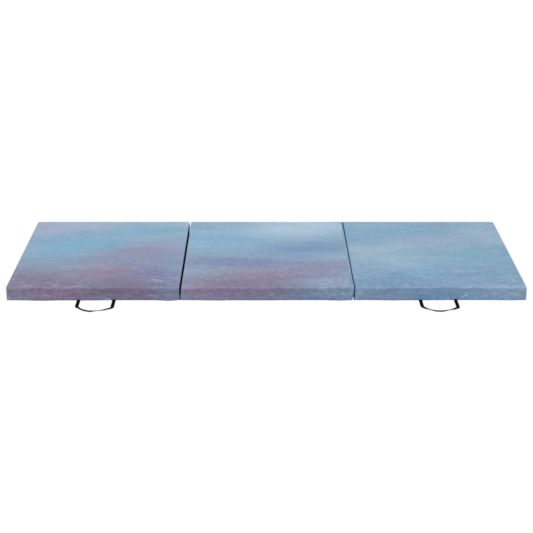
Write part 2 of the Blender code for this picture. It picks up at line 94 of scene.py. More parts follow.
class Wire:
    """A value socket that takes part in Python expressions."""

    def __init__(self, graph: "Graph", socket: bpy.types.NodeSocket) -> None:
        """Wrap an output socket of the graph that new Math nodes go into."""
        self.graph = graph
        self.socket = socket

    def math(self, operation: str, *operands: "Wire | float") -> "Wire":
        """Return the result of a new Math node with this operation and these operands."""
        node = self.graph.node("ShaderNodeMath", {"operation": operation}, dict(enumerate(operands)))
        return Wire(self.graph, node.outputs[0])

    def __add__(self, other: "Wire | float") -> "Wire":
        """Return self + other."""
        return self.math("ADD", self, other)

    def __radd__(self, other: float) -> "Wire":
        """Return other + self."""
        return self.math("ADD", other, self)

    def __sub__(self, other: "Wire | float") -> "Wire":
        """Return self - other."""
        return self.math("SUBTRACT", self, other)

    def __rsub__(self, other: float) -> "Wire":
        """Return other - self."""
        return self.math("SUBTRACT", other, self)

    def __mul__(self, other: "Wire | float") -> "Wire":
        """Return self * other."""
        return self.math("MULTIPLY", self, other)

    def __rmul__(self, other: float) -> "Wire":
        """Return other * self."""
        return self.math("MULTIPLY", other, self)

    def __pow__(self, other: float) -> "Wire":
        """Return self raised to a power."""
        return self.math("POWER", self, other)

    def sine(self) -> "Wire":
        """Return the sine of this value."""
        return self.math("SINE", self)

    def falloff(self) -> "Wire":
        """Return e to the power of minus this value."""
        return self.math("EXPONENT", -1.0 * self)

    def largest(self, other: "Wire | float") -> "Wire":
        """Return the larger of two values."""
        return self.math("MAXIMUM", self, other)

    def step(self, low: float, high: float) -> "Wire":
        """Return a smooth step that is 0 up to low and 1 from high on."""
        node = self.graph.node(
            "ShaderNodeMapRange",
            {"interpolation_type": "SMOOTHSTEP"},
            {"Value": self, "From Min": low, "From Max": high},
        )
        return Wire(self.graph, node.outputs[0])


Operand = Wire | bpy.types.NodeSocket | Shade | float | Sequence[float]


@dataclass(frozen=True)
class Cloud:
    """A noise: cycles per metre along X, Y and Z, finer octaves, their strength, seed and stirring."""

    scale: tuple[float, float, float]
    detail: float
    rough: float
    seed: float
    swirl: float = 0.0


class Graph:
    """The node tree of one material or world."""

    def __init__(self, tree: bpy.types.NodeTree) -> None:
        """Empty a node tree and take it over."""
        tree.nodes.clear()
        self.tree = tree

    def node(
        self,
        kind: str,
        settings: Mapping[str, Any] | None = None,
        inputs: Mapping[int | str, Operand] | None = None,
    ) -> bpy.types.Node:
        """Add a node.

        Args:
            kind: Blender's name of the node type.
            settings: The node's own settings, which are set first.
            inputs: Values, colours or links of its input sockets.

        Returns:
            The new node.
        """
        made = self.tree.nodes.new(kind)
        for key, value in (settings or {}).items():
            setattr(made, key, value)
        for key, value in (inputs or {}).items():
            socket = made.inputs[key]
            if isinstance(value, Wire):
                value = value.socket
            if isinstance(value, bpy.types.NodeSocket):
                self.tree.links.new(value, socket)
            elif isinstance(value, Shade):
                socket.default_value = value.linear()
            else:
                socket.default_value = value
        return made

    def mix(self, share: Operand, low: Operand, high: Operand) -> bpy.types.NodeSocket:
        """Return a mix of two colours that holds this share, 0 to 1, of the second."""
        settings = {"data_type": "RGBA", "blend_type": "MIX", "clamp_factor": True}
        return self.node("ShaderNodeMix", settings, {0: share, 6: low, 7: high}).outputs[2]

    def place(self) -> bpy.types.NodeSocket:
        """Return the piece's own coordinates, in metres."""
        return self.node("ShaderNodeTexCoord").outputs["Object"]

    def product(self, first: Operand, second: Operand) -> bpy.types.NodeSocket:
        """Return two vectors or colours multiplied part by part."""
        return self.node("ShaderNodeVectorMath", {"operation": "MULTIPLY"}, {0: first, 1: second}).outputs[0]

    def grey(self, value: Wire) -> bpy.types.NodeSocket:
        """Return a colour whose three parts are a value."""
        return self.node("ShaderNodeCombineXYZ", inputs={0: value, 1: value, 2: value}).outputs[0]

    def parts(self, vector: bpy.types.NodeSocket) -> tuple[Wire, Wire, Wire]:
        """Return the X, Y and Z of a vector."""
        split = self.node("ShaderNodeSeparateXYZ", inputs={0: vector})
        return tuple(Wire(self, socket) for socket in split.outputs)

    def noise(self, cloud: Cloud, seed: float = 0.0) -> Wire:
        """Return a cloud noise.

        Args:
            cloud: Its settings.
            seed: What is added to the settings' own seed.

        Returns:
            The noise's value, about 0 to 1.
        """
        inputs = {
            "Vector": self.product(self.place(), cloud.scale), "W": seed + cloud.seed, "Scale": 1.0,
            "Detail": cloud.detail, "Roughness": cloud.rough, "Distortion": cloud.swirl,
        }
        return Wire(self, self.node("ShaderNodeTexNoise", {"noise_dimensions": "4D"}, inputs).outputs[0])

    def cloth_place(self) -> tuple[Wire, Wire, Wire]:
        """Return the place on the cloth as it was cut, in metres."""
        return self.parts(self.node("ShaderNodeUVMap", {"uv_map": UV_NAME}).outputs[0])

    def weave(self, pitch: float) -> Wire:
        """Return the height of a plain weave.

        Args:
            pitch: Distance between two threads, in metres.

        Returns:
            The height, -1 to 1.
        """
        across, along, _ = self.cloth_place()
        rate = math.pi / pitch
        return (across * rate).sine() * (along * rate).sine()

    def bump(self, height: Wire, depth: float, strength: float = 1.0) -> bpy.types.NodeSocket:
        """Return a normal bent by a height, of which 1 stands for a depth in metres."""
        inputs = {"Strength": strength, "Distance": depth, "Height": height}
        return self.node("ShaderNodeBump", inputs=inputs).outputs[0]

    def attribute(self, name: str) -> Wire:
        """Return a value stored on the mesh's points."""
        return Wire(self, self.node("ShaderNodeAttribute", {"attribute_name": name}).outputs["Fac"])

    def surface(self, inputs: Mapping[int | str, Operand]) -> None:
        """End the tree in a Principled shader with these inputs."""
        shader = self.node("ShaderNodeBsdfPrincipled", inputs=inputs)
        self.node("ShaderNodeOutputMaterial", inputs={"Surface": shader.outputs[0]})


# Finishes


@dataclass(frozen=True)
class Finish:
    """A material of the mat, made once and then shared."""

    name: str
    made: ClassVar[dict[str, bpy.types.Material]] = {}

    def material(self) -> bpy.types.Material:
        """Return the finish's material, making it the first time."""
        if self.name not in self.made:
            material = bpy.data.materials.new(self.name)
            material.use_nodes = True
            self.dress(Graph(material.node_tree))
            self.made[self.name] = material
        return self.made[self.name]

    def dress(self, graph: Graph) -> None:
        """Fill the material's node tree."""
        raise NotImplementedError


class Wash(Enum):
    """Colours of the printed wash."""

    SKY = Shade(122, 168, 197)
    PALE = Shade(174, 197, 212)
    HAZE = Shade(162, 168, 191)
    LILAC = Shade(134, 130, 161)
    MAUVE = Shade(125, 110, 138)
    ROSE = Shade(148, 121, 153)
    VIOLET = Shade(110, 116, 164)
    STEEL = Shade(98, 134, 172)
    TEAL = Shade(106, 160, 184)
    COBALT = Shade(88, 126, 178)


@dataclass(frozen=True)
class Drift:
    """A soft patch of one colour in the printed wash."""

    colour: Wash
    centre: tuple[float, float]
    reach: tuple[float, float]
    turn: float = 0.0
    strength: float = 0.8

    def weight(self, x: Wire, y: Wire) -> Wire:
        """Return how strongly the patch covers a place.

        Args:
            x: Place along the mat.
            y: Place from front to back.

        Returns:
            The patch's share, 0 to its strength.
        """
        cos, sin = math.cos(math.radians(self.turn)), math.sin(math.radians(self.turn))
        dx, dy = x - self.centre[0], y - self.centre[1]
        along = dx * (cos / self.reach[0]) + dy * (sin / self.reach[0])
        across = dy * (cos / self.reach[1]) - dx * (sin / self.reach[1])
        return (along * along + across * across).falloff() * self.strength


class PrintCloud(Enum):
    """Noises of the printed wash."""

    SWAY = Cloud((2.6, 6.0, 6.0), 4.0, 0.6, 1.0)
    HEAVE = Cloud((2.2, 7.0, 7.0), 4.0, 0.6, 2.0)
    WASH = Cloud((1.6, 6.5, 6.5), 5.0, 0.62, 3.0)
    STREAK = Cloud((14.0, 85.0, 85.0), 4.0, 0.65, 4.0)
    MOTTLE = Cloud((5.0, 16.0, 16.0), 5.0, 0.65, 5.0)
    GRAIN = Cloud((260.0, 260.0, 260.0), 2.0, 0.6, 6.0)
    PATCHES = Cloud((3.0, 6.0, 6.0), 2.0, 0.5, 7.0)
    FLECKS = Cloud((90.0, 150.0, 150.0), 2.0, 0.5, 8.0)
    BRUSH = Cloud((48.0, 75.0, 75.0), 4.0, 0.7, 9.0)
    STROKES = Cloud((17.0, 58.0, 58.0), 4.0, 0.6, 10.0, 1.6)


@dataclass(frozen=True)
class PrintedCloth(Finish):
    """Soft brushed cloth printed with a plain wash of blues and lilacs.

    The second number of a pair of shares or lights is what the front adds.
    """

    accent: Wash
    drifts: tuple[Drift, ...]
    seed: float
    fleck_share: float
    # How far painted light brightens the back and darkens the front and the front wall.
    painted_front_shade: float
    ground: Shade = Shade(150, 174, 193)
    deep: Shade = Shade(120, 150, 180)
    fleck: Shade = Shade(196, 210, 222)
    # Colour of the rounded edges: rubbed wear and a painted highlight.
    worn: Shade = Shade(214, 220, 226)
    edge_height: float = 0.0488
    half_width: float = 0.305
    thread_pitch: float = 0.0007
    sway: float = 0.30
    heave: float = 0.16
    front_run: float = 0.28
    wash_step: tuple[float, float] = (0.32, 0.68)
    accent_step: tuple[float, float] = (0.54, 0.70)
    accent_share: tuple[float, float] = (0.20, 0.35)
    pale_step: tuple[float, float] = (0.56, 0.74)
    pale_share: tuple[float, float] = (0.12, 0.30)
    streak_light: float = 0.34
    mottle_light: float = 0.30
    brush_light: tuple[float, float] = (0.45, 0.55)
    grain_light: float = 0.35
    patch_step: tuple[float, float] = (0.45, 0.62)
    fleck_step: tuple[float, float] = (0.58, 0.72)
    # Share of rubbed wear and painted highlight on the rounded edges.
    wear_share: float = 0.03
    wear_and_highlight_grain: float = 0.2

    def cloud(self, graph: Graph, kind: PrintCloud) -> Wire:
        """Return one of the print's noises, with the print's own seed."""
        return graph.noise(kind.value, self.seed)

    def dress(self, graph: Graph) -> None:
        """Lay the wash, its streaks and flecks, painted shade to the front, worn edges with a painted
        highlight, and the weave.

        Args:
            graph: The material's graph.
        """
        x, y, z = graph.parts(graph.place())
        y = y * (1.0 + (self.edge_height - z) * (1.0 / self.half_width))
        sway = self.cloud(graph, PrintCloud.SWAY) - 0.5
        heave = self.cloud(graph, PrintCloud.HEAVE) - 0.5
        x, y = x + sway * self.sway, y + heave * self.heave
        front = (0.0 - y).step(0.0, self.front_run)
        wash = self.cloud(graph, PrintCloud.WASH).step(*self.wash_step)
        colour = graph.mix(wash, self.ground, self.deep)
        for drift in self.drifts:
            colour = graph.mix(drift.weight(x, y), colour, drift.colour.value)
        streak = self.cloud(graph, PrintCloud.STREAK) - 0.5
        mottle = self.cloud(graph, PrintCloud.MOTTLE) - 0.5
        brush = self.cloud(graph, PrintCloud.BRUSH) - 0.5
        grain = self.cloud(graph, PrintCloud.GRAIN) - 0.5
        strokes = self.cloud(graph, PrintCloud.STROKES)
        accents = strokes.step(*self.accent_step) * (self.accent_share[0] + front * self.accent_share[1])
        colour = graph.mix(accents, colour, self.accent.value)
        pales = (1.0 - strokes).step(*self.pale_step) * (self.pale_share[0] + front * self.pale_share[1])
        colour = graph.mix(pales, colour, self.fleck)
        light = 1.0 + streak * self.streak_light + mottle * self.mottle_light
        light = light + brush * (self.brush_light[0] + front * self.brush_light[1]) + grain * self.grain_light
        # Painted light: brighter towards the back, darker towards the front and down the front wall.
        light = light + y * (self.painted_front_shade / self.half_width)
        colour = graph.product(colour, graph.grey(light))
        patches = self.cloud(graph, PrintCloud.PATCHES).step(*self.patch_step)
        flecks = self.cloud(graph, PrintCloud.FLECKS).step(*self.fleck_step)
        colour = graph.mix(flecks * patches * self.fleck_share, colour, self.fleck)
        # Rounded edges paler: partly rubbed wear, partly a painted highlight where the edges catch the light.
        wear = graph.attribute(WEAR_AND_HIGHLIGHT_NAME) * (self.wear_share + grain * self.wear_and_highlight_grain)
        colour = graph.mix(wear, colour, self.worn)
        weave = graph.weave(self.thread_pitch) * 0.5 + grain
        graph.surface({
            "Base Color": colour,
            "Roughness": 0.80 + grain * 0.2,
            "Specular IOR Level": 0.25,
            "Sheen Weight": 0.12,
            "Sheen Roughness": 0.5,
            "Normal": graph.bump(weave, 0.00012, 0.8),
        })


@dataclass(frozen=True)
class PlainCloth(Finish):
    """One-colour woven cloth, for fold walls, hinge cloth, base and zip tape."""

    colour: Shade = Shade(34, 41, 60)
    lint: Shade = Shade(64, 72, 90)
    pitch: float = 0.0008
    depth: float = 0.0001
    roughness: float = 0.85
    specular: float = 0.25
    sheen: float = 0.1
    pebble: float = 0.0
    pebble_height: float = 3.0
    dye: Cloud = Cloud((18.0, 18.0, 18.0), 4.0, 0.6, 2.0)
    fuzz: Cloud = Cloud((420.0, 420.0, 420.0), 3.0, 0.6, 3.0)
    fuzz_step: tuple[float, float] = (0.45, 0.8)
    thread_share: float = 0.16
    dye_share: float = 0.35
    lint_share: float = 0.5
    less_lint: float = 0.1
    relief: float = 0.6

    def dress(self, graph: Graph) -> None:
        """Show the threads, some lint, an uneven dye and the pebbles of a non-slip cloth.

        Args:
            graph: The material's graph.
        """
        weave = graph.weave(self.pitch)
        dye = graph.noise(self.dye)
        fuzz = graph.noise(self.fuzz)
        share = weave * self.thread_share + dye * self.dye_share
        share = share + fuzz.step(*self.fuzz_step) * self.lint_share - self.less_lint
        height = weave * self.relief + fuzz * self.relief
        if self.pebble:
            cells = graph.node(
                "ShaderNodeTexVoronoi", {"feature": "SMOOTH_F1"},
                {"Vector": graph.place(), "Scale": self.pebble, "Smoothness": 0.6},
            )
            height = height + (1.0 - Wire(graph, cells.outputs["Distance"])) * self.pebble_height
        graph.surface({
            "Base Color": graph.mix(share, self.colour, self.lint),
            "Roughness": self.roughness + fuzz * 0.1,
            "Specular IOR Level": self.specular,
            "Sheen Weight": self.sheen,
            "Normal": graph.bump(height, self.depth),
        })


@dataclass(frozen=True)
class FoamFinish(Finish):
    """Open-cell foam, pale grey, with small pores painted darker as the shade inside them."""

    colour: Shade = Shade(205, 206, 200)
    pore_shade: Shade = Shade(150, 150, 143)
    pores_per_metre: float = 620.0
    pore_step: tuple[float, float] = (0.1, 0.5)
    pore_shade_share: float = 0.7
    ageing: Cloud = Cloud((9.0, 9.0, 9.0), 4.0, 0.6, 5.0)
    ageing_share: float = 0.25

    def dress(self, graph: Graph) -> None:
        """Show the cells, painted darker in the pores as their shade, and a slight yellowing.

        Args:
            graph: The material's graph.
        """
        inputs = {"Vector": graph.place(), "Scale": self.pores_per_metre}
        cells = graph.node("ShaderNodeTexVoronoi", inputs=inputs)
        pores = Wire(graph, cells.outputs["Distance"])
        ageing = graph.noise(self.ageing)
        # Painted shade: darker in the middle of each pore.
        share = (1.0 - pores.step(*self.pore_step)) * self.pore_shade_share + ageing * self.ageing_share
        graph.surface({
            "Base Color": graph.mix(share, self.colour, self.pore_shade),
            "Roughness": 0.92 + ageing * 0.06,
            "Normal": graph.bump(pores + ageing, 0.0005),
        })


@dataclass(frozen=True)
class WebbingFinish(Finish):
    """Black woven strap with diagonal picks and a slight polish on its ridges."""

    colour: Shade = Shade(2, 2, 3)
    ridge: Shade = Shade(15, 15, 17)
    pick: float = 0.0011
    slope: float = 0.6
    end_rate: float = 0.8
    fuzz: Cloud = Cloud((700.0, 700.0, 700.0), 3.0, 0.6, 7.0)
    relief: tuple[float, float, float] = (0.7, 0.4, 0.6)
    ridge_step: tuple[float, float] = (0.3, 1.7)
    ridge_share: float = 0.55
    lint_share: float = 0.12

    def dress(self, graph: Graph) -> None:
        """Show the twill's picks, lint and rubbed ridges.

        Args:
            graph: The material's graph.
        """
        across, along, _ = graph.cloth_place()
        rate = 2.0 * math.pi / self.pick
        slant = ((along + across * self.slope) * rate).sine()
        ends = (across * (rate * self.end_rate)).sine()
        fuzz = graph.noise(self.fuzz)
        height = slant * self.relief[0] + ends * self.relief[1] + fuzz * self.relief[2]
        share = height.step(*self.ridge_step) * self.ridge_share + fuzz * self.lint_share
        graph.surface({
            "Base Color": graph.mix(share, self.colour, self.ridge),
            "Roughness": 0.62 - share * 0.25,
            "Specular IOR Level": 0.08,
            "Normal": graph.bump(height, 0.00012),
        })


@dataclass(frozen=True)
class NylonFinish(Finish):
    """Moulded or spun nylon, for zip coils and sewing thread."""

    colour: Shade = Shade(44, 54, 78)
    rubbed: Shade = Shade(86, 97, 120)
    roughness: float = 0.42
    wear: Cloud = Cloud((150.0, 900.0, 900.0), 3.0, 0.6, 11.0)
    wear_step: tuple[float, float] = (0.45, 0.75)
    wear_share: float = 0.6

    def dress(self, graph: Graph) -> None:
        """Show rubbed tops and fine moulding marks.

        Args:
            graph: The material's graph.
        """
        wear = graph.noise(self.wear)
        graph.surface({
            "Base Color": graph.mix(wear.step(*self.wear_step) * self.wear_share, self.colour, self.rubbed),
            "Roughness": self.roughness + wear * 0.2,
            "Specular IOR Level": 0.5,
            "Normal": graph.bump(wear, 0.00004),
        })


@dataclass(frozen=True)
class MetalFinish(Finish):
    """Plated die-cast metal with handling scratches."""

    colour: Shade = Shade(188, 190, 194)
    worn: Shade = Shade(150, 147, 141)
    scratch: Cloud = Cloud((2600.0, 260.0, 900.0), 2.0, 0.6, 13.0)
    tarnish: Cloud = Cloud((240.0, 240.0, 240.0), 4.0, 0.6, 17.0)
    tarnish_step: tuple[float, float] = (0.42, 0.75)
    tarnish_share: float = 0.7

    def dress(self, graph: Graph) -> None:
        """Show fine scratches, tarnish and a cast surface.

        Args:
            graph: The material's graph.
        """
        scratch = graph.noise(self.scratch)
        tarnish = graph.noise(self.tarnish)
        dull = tarnish.step(*self.tarnish_step) * self.tarnish_share
        graph.surface({
            "Base Color": graph.mix(dull, self.colour, self.worn),
            "Metallic": 1.0,
            "Roughness": 0.24 + scratch * 0.16 + tarnish * 0.1,
            "Normal": graph.bump(scratch + tarnish, 0.00002),
        })


COVER_PRINTS = {
    "left": PrintedCloth(
        "print_left", seed=3.0, fleck_share=0.25, painted_front_shade=0.13, accent=Wash.MAUVE,
        drifts=(
            Drift(Wash.HAZE, (-0.80, 0.24), (0.24, 0.10), 6.0, 0.8),
            Drift(Wash.TEAL, (-0.50, 0.21), (0.24, 0.06), -4.0, 0.6),
            Drift(Wash.SKY, (-0.74, 0.05), (0.24, 0.10), 8.0, 0.85),
            Drift(Wash.TEAL, (-0.60, 0.07), (0.13, 0.05), 4.0, 0.6),
            Drift(Wash.LILAC, (-0.45, -0.01), (0.22, 0.09), 14.0, 0.8),
            Drift(Wash.MAUVE, (-0.82, -0.27), (0.20, 0.14), -6.0, 0.85),
            Drift(Wash.MAUVE, (-0.48, -0.30), (0.25, 0.14), 5.0, 0.95),
            Drift(Wash.ROSE, (-0.55, -0.17), (0.13, 0.045), 10.0, 0.8),
            Drift(Wash.ROSE, (-0.74, -0.34), (0.12, 0.05), -3.0, 0.7),
            Drift(Wash.VIOLET, (-0.36, -0.20), (0.09, 0.06), -8.0, 0.6),
            Drift(Wash.STEEL, (-0.60, -0.37), (0.10, 0.03), 3.0, 0.4),
        ),
    ),
    "middle": PrintedCloth(
        "print_middle", seed=11.0, fleck_share=0.25, painted_front_shade=0.10, accent=Wash.VIOLET,
        drifts=(
            Drift(Wash.PALE, (0.10, 0.24), (0.26, 0.12), -5.0, 0.8),
            Drift(Wash.SKY, (-0.20, 0.12), (0.20, 0.10), 6.0, 0.7),
            Drift(Wash.STEEL, (0.14, 0.03), (0.26, 0.07), 7.0, 0.6),
            Drift(Wash.VIOLET, (-0.10, -0.09), (0.30, 0.06), -6.0, 0.7),
            Drift(Wash.LILAC, (0.22, -0.14), (0.16, 0.06), 9.0, 0.7),
            Drift(Wash.MAUVE, (-0.10, -0.29), (0.27, 0.12), 4.0, 0.9),
            Drift(Wash.ROSE, (-0.02, -0.20), (0.15, 0.04), -5.0, 0.75),
            Drift(Wash.ROSE, (-0.16, -0.34), (0.12, 0.05), 4.0, 0.6),
            Drift(Wash.HAZE, (0.24, -0.27), (0.09, 0.05), 0.0, 0.6),
            Drift(Wash.STEEL, (0.16, -0.36), (0.12, 0.04), 0.0, 0.5),
        ),
    ),
    "right": PrintedCloth(
        "print_right", seed=23.0, fleck_share=0.5, painted_front_shade=0.03, accent=Wash.COBALT,
        drifts=(
            Drift(Wash.SKY, (0.45, 0.20), (0.26, 0.12), 4.0, 0.6),
            Drift(Wash.HAZE, (0.62, 0.10), (0.15, 0.05), -8.0, 0.45),
            Drift(Wash.TEAL, (0.74, -0.02), (0.20, 0.08), 6.0, 0.6),
            Drift(Wash.PALE, (0.50, -0.08), (0.14, 0.06), 5.0, 0.3),
            Drift(Wash.STEEL, (0.48, -0.27), (0.22, 0.09), -5.0, 0.55),
            Drift(Wash.SKY, (0.60, -0.16), (0.24, 0.08), 4.0, 0.45),
            Drift(Wash.STEEL, (0.80, -0.22), (0.15, 0.06), 8.0, 0.5),
            Drift(Wash.COBALT, (0.64, -0.35), (0.20, 0.05), 2.0, 0.55),
            Drift(Wash.LILAC, (0.40, -0.36), (0.09, 0.04), 0.0, 0.5),
        ),
    ),
}
FOLD_CLOTH = PlainCloth("fold_wall_cloth", Shade(44, 60, 90), Shade(62, 79, 110), specular=0.04, sheen=0.0)
# Hinge cloth, also the dark middle of the high fold's strip, where it paints the shade in the crease.
HINGE_AND_CREASE_SHADE_CLOTH = PlainCloth(
    "hinge_cloth", Shade(48, 74, 106), Shade(72, 100, 132), pitch=0.0006, specular=0.08, sheen=0.0
)
BASE_CLOTH = PlainCloth("non_slip_cloth", Shade(33, 34, 38), Shade(66, 67, 72), depth=0.00012, pebble=420.0)
TAPE_CLOTH = PlainCloth("zip_tape_cloth", Shade(58, 70, 94), Shade(98, 110, 134), pitch=0.0005)
FOAM = FoamFinish("foam_cells")
WEBBING = WebbingFinish("black_webbing")
COIL = NylonFinish("zip_coil")
THREAD = NylonFinish("sewing_thread", Shade(120, 142, 166), Shade(166, 182, 200), 0.6)
METAL = MetalFinish("zip_metal")


# Mesh tools


def put_in_scene(name: str, data: bpy.types.ID) -> bpy.types.Object:
    """Return a new object in the scene that shows a mesh, light or camera.

    Args:
        name: Name of the object.
        data: What it shows.

    Returns:
        The object, at the origin.
    """
    made = bpy.data.objects.new(name, data)
    bpy.context.scene.collection.objects.link(made)
    return made


@dataclass
class Draft:
    """Points and faces of one piece while it is being made."""

    points: list[Vector] = field(default_factory=list)
    faces: list[tuple[int, ...]] = field(default_factory=list)
    finish_of: list[int] = field(default_factory=list)
    uvs: list[tuple[tuple[float, float], ...]] = field(default_factory=list)

    def face(self, corners: Sequence[int], uvs: Sequence[tuple[float, float]] = (), finish: int = 0) -> None:
        """Add a face.

        Args:
            corners: Numbers of its points.
            uvs: Place of each corner on the cut cloth.
            finish: Which of the piece's finishes it has.
        """
        self.faces.append(tuple(corners))
        self.uvs.append(tuple(uvs) or ((0.0, 0.0),) * len(corners))
        self.finish_of.append(finish)

    def grid(self, finishes: Sequence[int], face_down: bool = False) -> None:
        """Join the draft's points, which stand in equal rows, by quads.

        Args:
            finishes: Finish of each quad of a row, so one fewer than a row's points.
            face_down: Whether the quads look down.
        """
        wide = len(finishes) + 1
        for start in range(0, len(self.points) - wide, wide):
            for near, finish in enumerate(finishes, start):
                far = near + wide
                corners = (near, far, far + 1, near + 1) if face_down else (near, near + 1, far + 1, far)
                self.face(corners, [(self.points[n].x, self.points[n].y) for n in corners], finish)

    def sweep(self, rings: Sequence[Sequence[Vector]]) -> None:
        """Join closed rings of points into one capped solid.

        Args:
            rings: Rings with the same number of points, one behind the other.
        """
        first, count = len(self.points), len(rings[0])
        around = [0.0]
        for index in range(count):
            around.append(around[-1] + (rings[0][(index + 1) % count] - rings[0][index]).length)
        along = 0.0
        for number, ring in enumerate(rings):
            self.points.extend(ring)
            if number == 0:
                continue
            step = (sum(ring, Vector()) - sum(rings[number - 1], Vector())).length / count
            here, before = first + number * count, first + (number - 1) * count
            for index in range(count):
                after = (index + 1) % count
                corners = (before + index, before + after, here + after, here + index)
                uvs = (
                    (around[index], along), (around[index + 1], along),
                    (around[index + 1], along + step), (around[index], along + step),
                )
                self.face(corners, uvs)
            along += step
        last = first + (len(rings) - 1) * count
        self.face([first + index for index in reversed(range(count))])
        self.face([last + index for index in range(count)])

    def piece(self, name: str, finishes: Sequence[Finish], smooth_angle: float = 60.0) -> bpy.types.Object:
        """Turn the draft into an object.

        Args:
            name: Name of the piece.
            finishes: Its finishes, in the order that the faces number them.
            smooth_angle: Edges sharper than this stay sharp, in degrees.

        Returns:
            The object, at the origin.
        """
        mesh = bpy.data.meshes.new(name)
        mesh.from_pydata([tuple(point) for point in self.points], [], self.faces)
        layer = mesh.uv_layers.new(name=UV_NAME)
        layer.data.foreach_set("uv", np.array([uv for face in self.uvs for uv in face], np.float32).ravel())
        for finish in finishes:
            mesh.materials.append(finish.material())
        mesh.polygons.foreach_set("material_index", self.finish_of)
        mesh.validate()
        mesh.shade_smooth()
        mesh.set_sharp_from_angle(angle=math.radians(smooth_angle))
        return put_in_scene(name, mesh)


def apply_modifiers(piece: bpy.types.Object) -> None:
    """Replace a piece's mesh by what its modifiers make of it.

    Args:
        piece: The piece.
    """
    bpy.context.view_layer.update()
    evaluated = piece.evaluated_get(bpy.context.evaluated_depsgraph_get())
    old, name = piece.data, piece.data.name
    piece.data = bpy.data.meshes.new_from_object(evaluated)
    piece.modifiers.clear()
    bpy.data.meshes.remove(old)
    piece.data.name = name


def thicken(piece: bpy.types.Object, thickness: float) -> None:
    """Give an open sheet its thickness, inwards.

    Args:
        piece: The sheet.
        thickness: Thickness in metres.
    """
    step = piece.modifiers.new("thickness", "SOLIDIFY")
    step.thickness, step.offset, step.use_even_offset = thickness, -1.0, True
    apply_modifiers(piece)


def report(piece: bpy.types.Object) -> None:
    """Log a finished piece."""
    LOG.info("%s: %d points, %d faces", piece.name, len(piece.data.vertices), len(piece.data.polygons))


def ease(value: np.ndarray | float) -> np.ndarray | float:
    """Return a smooth step of a value clipped to 0..1."""
    share = np.clip(value, 0.0, 1.0)
    return share * share * (3.0 - 2.0 * share)


def hump(distance: np.ndarray | float, reach: float) -> np.ndarray | float:
    """Return 1 at no distance, falling softly to 0 over a few reaches."""
    return np.exp(-((distance / reach) ** 2))


# The panels' common shape


@dataclass(frozen=True)
class MatSizes:
    """Sizes of the whole mat that several sub-assemblies share."""

    length: float = 1.829
    width: float = 0.610
    edge: float = 0.0488
    crown_rise: float = 0.002
    crown_run: float = 0.196
    highest: float = 0.05102
    top_radius: float = 0.0040
    foot_radius: float = 0.0035
    open_corner: float = 0.0090
    fold_corner: float = 0.0060
    least_corner: float = 0.0015
    draw_in: float = 0.0010
    cloth: float = 0.0012
    base: float = 0.0010
    zip_margin: float = 0.045
    slot_half: float = 0.005
    strip_half: float = 0.008
    strip_skin: float = 0.0006
    valley: float = 0.0032
    clearance: float = 0.0003

    @property
    def pitch(self) -> float:
        """Length of one panel."""
        return self.length / 3

    @property
    def half_width(self) -> float:
        """Half of the mat's width."""
        return self.width / 2

    @property
    def zip_height(self) -> float:
        """Height of the zips' middle line."""
        return self.edge / 2


SIZES = MatSizes()


def on_top(z: np.ndarray) -> np.ndarray:
    """Return 1 on a panel's flat top and 0 below its rounded edge."""
    return ease((z - SIZES.edge + SIZES.top_radius) / SIZES.top_radius)


def side_gap(y: np.ndarray) -> np.ndarray:
    """Return the distance to the nearer of the mat's front and back."""
    return np.minimum(y + SIZES.half_width, SIZES.half_width - y)


class Side(Enum):
    """The four walls of a panel, in the order in which its outline runs."""

    FRONT = 0
    HIGH = 1
    BACK = 2
    LOW = 3


@dataclass(frozen=True)
class EndWall:
    """How an end wall leans: its distance from the end plane at foot and head."""

    foot: float = 0.0
    head: float = 0.0
    fold: bool = False

    def inset(self, z: float) -> float:
        """Return how far the wall stands back at a height."""
        return self.foot + (self.head - self.foot) * z / SIZES.edge


@dataclass(frozen=True)
class PanelPlan:
    """One panel: name, number along the mat, end walls and foot waves (place along it, size, reach)."""

    name: str
    number: int
    low: EndWall
    high: EndWall
    foot_waves: tuple[tuple[float, float, float], ...]

    @property
    def body(self) -> str:
        """Name of the body that the panel belongs to."""
        return f"panel_{self.name}"

    @property
    def x_low(self) -> float:
        """X of the panel's lower end plane."""
        return (self.number - 1.5) * SIZES.pitch

    @property
    def x_high(self) -> float:
        """X of the panel's upper end plane."""
        return self.x_low + SIZES.pitch

    def foot_wave(self, x: np.ndarray | float) -> np.ndarray | float:
        """Return how far the foot of the front swells out at a place along the mat."""
        return sum(size * hump(x - self.x_low - along, reach) for along, size, reach in self.foot_waves)

    def end_gap(self, x: np.ndarray) -> np.ndarray:
        """Return the distance to the nearer end plane."""
        return np.minimum(x - self.x_low, self.x_high - x)

    def head_gap(self, x: np.ndarray) -> np.ndarray:
        """Return the distance to the nearer end wall's head."""
        return np.minimum(x - self.x_low - self.low.head, self.x_high - self.high.head - x)

    def slot_span(self) -> tuple[float, float]:
        """Return the X at which the zip's slot starts and ends."""
        margin, room = SIZES.zip_margin, SIZES.clearance
        return self.x_low + margin - room, self.x_high - margin + room


PANELS = (
    PanelPlan(
        "left", 0, EndWall(-0.0015, 0.0), EndWall(0.0030, 0.0024, True),
        ((0.120, 0.0040, 0.052), (0.270, 0.0022, 0.080), (0.566, 0.0050, 0.028)),
    ),
    PanelPlan(
        "middle", 1, EndWall(0.0010, 0.0047, True), EndWall(0.0029, -0.0018, True),
        ((0.130, 0.0028, 0.060), (0.290, 0.0020, 0.080), (0.560, 0.0038, 0.035)),
    ),
    PanelPlan(
        "right", 2, EndWall(0.0025, 0.0042, True), EndWall(-0.0025, 0.0),
        ((0.140, 0.0024, 0.055), (0.240, 0.0014, 0.050), (0.545, 0.0020, 0.035)),
    ),
)
FINE_HALF_ARC = (0.0, 9.0, 18.0, 27.0, 34.0, 39.0, 42.5, 45.0)
COARSE_HALF_ARC = (0.0, 22.5, 45.0)
COARSE_ROWS = (0.012, 0.023, 0.032)
COARSE_ARC_STEPS = 3


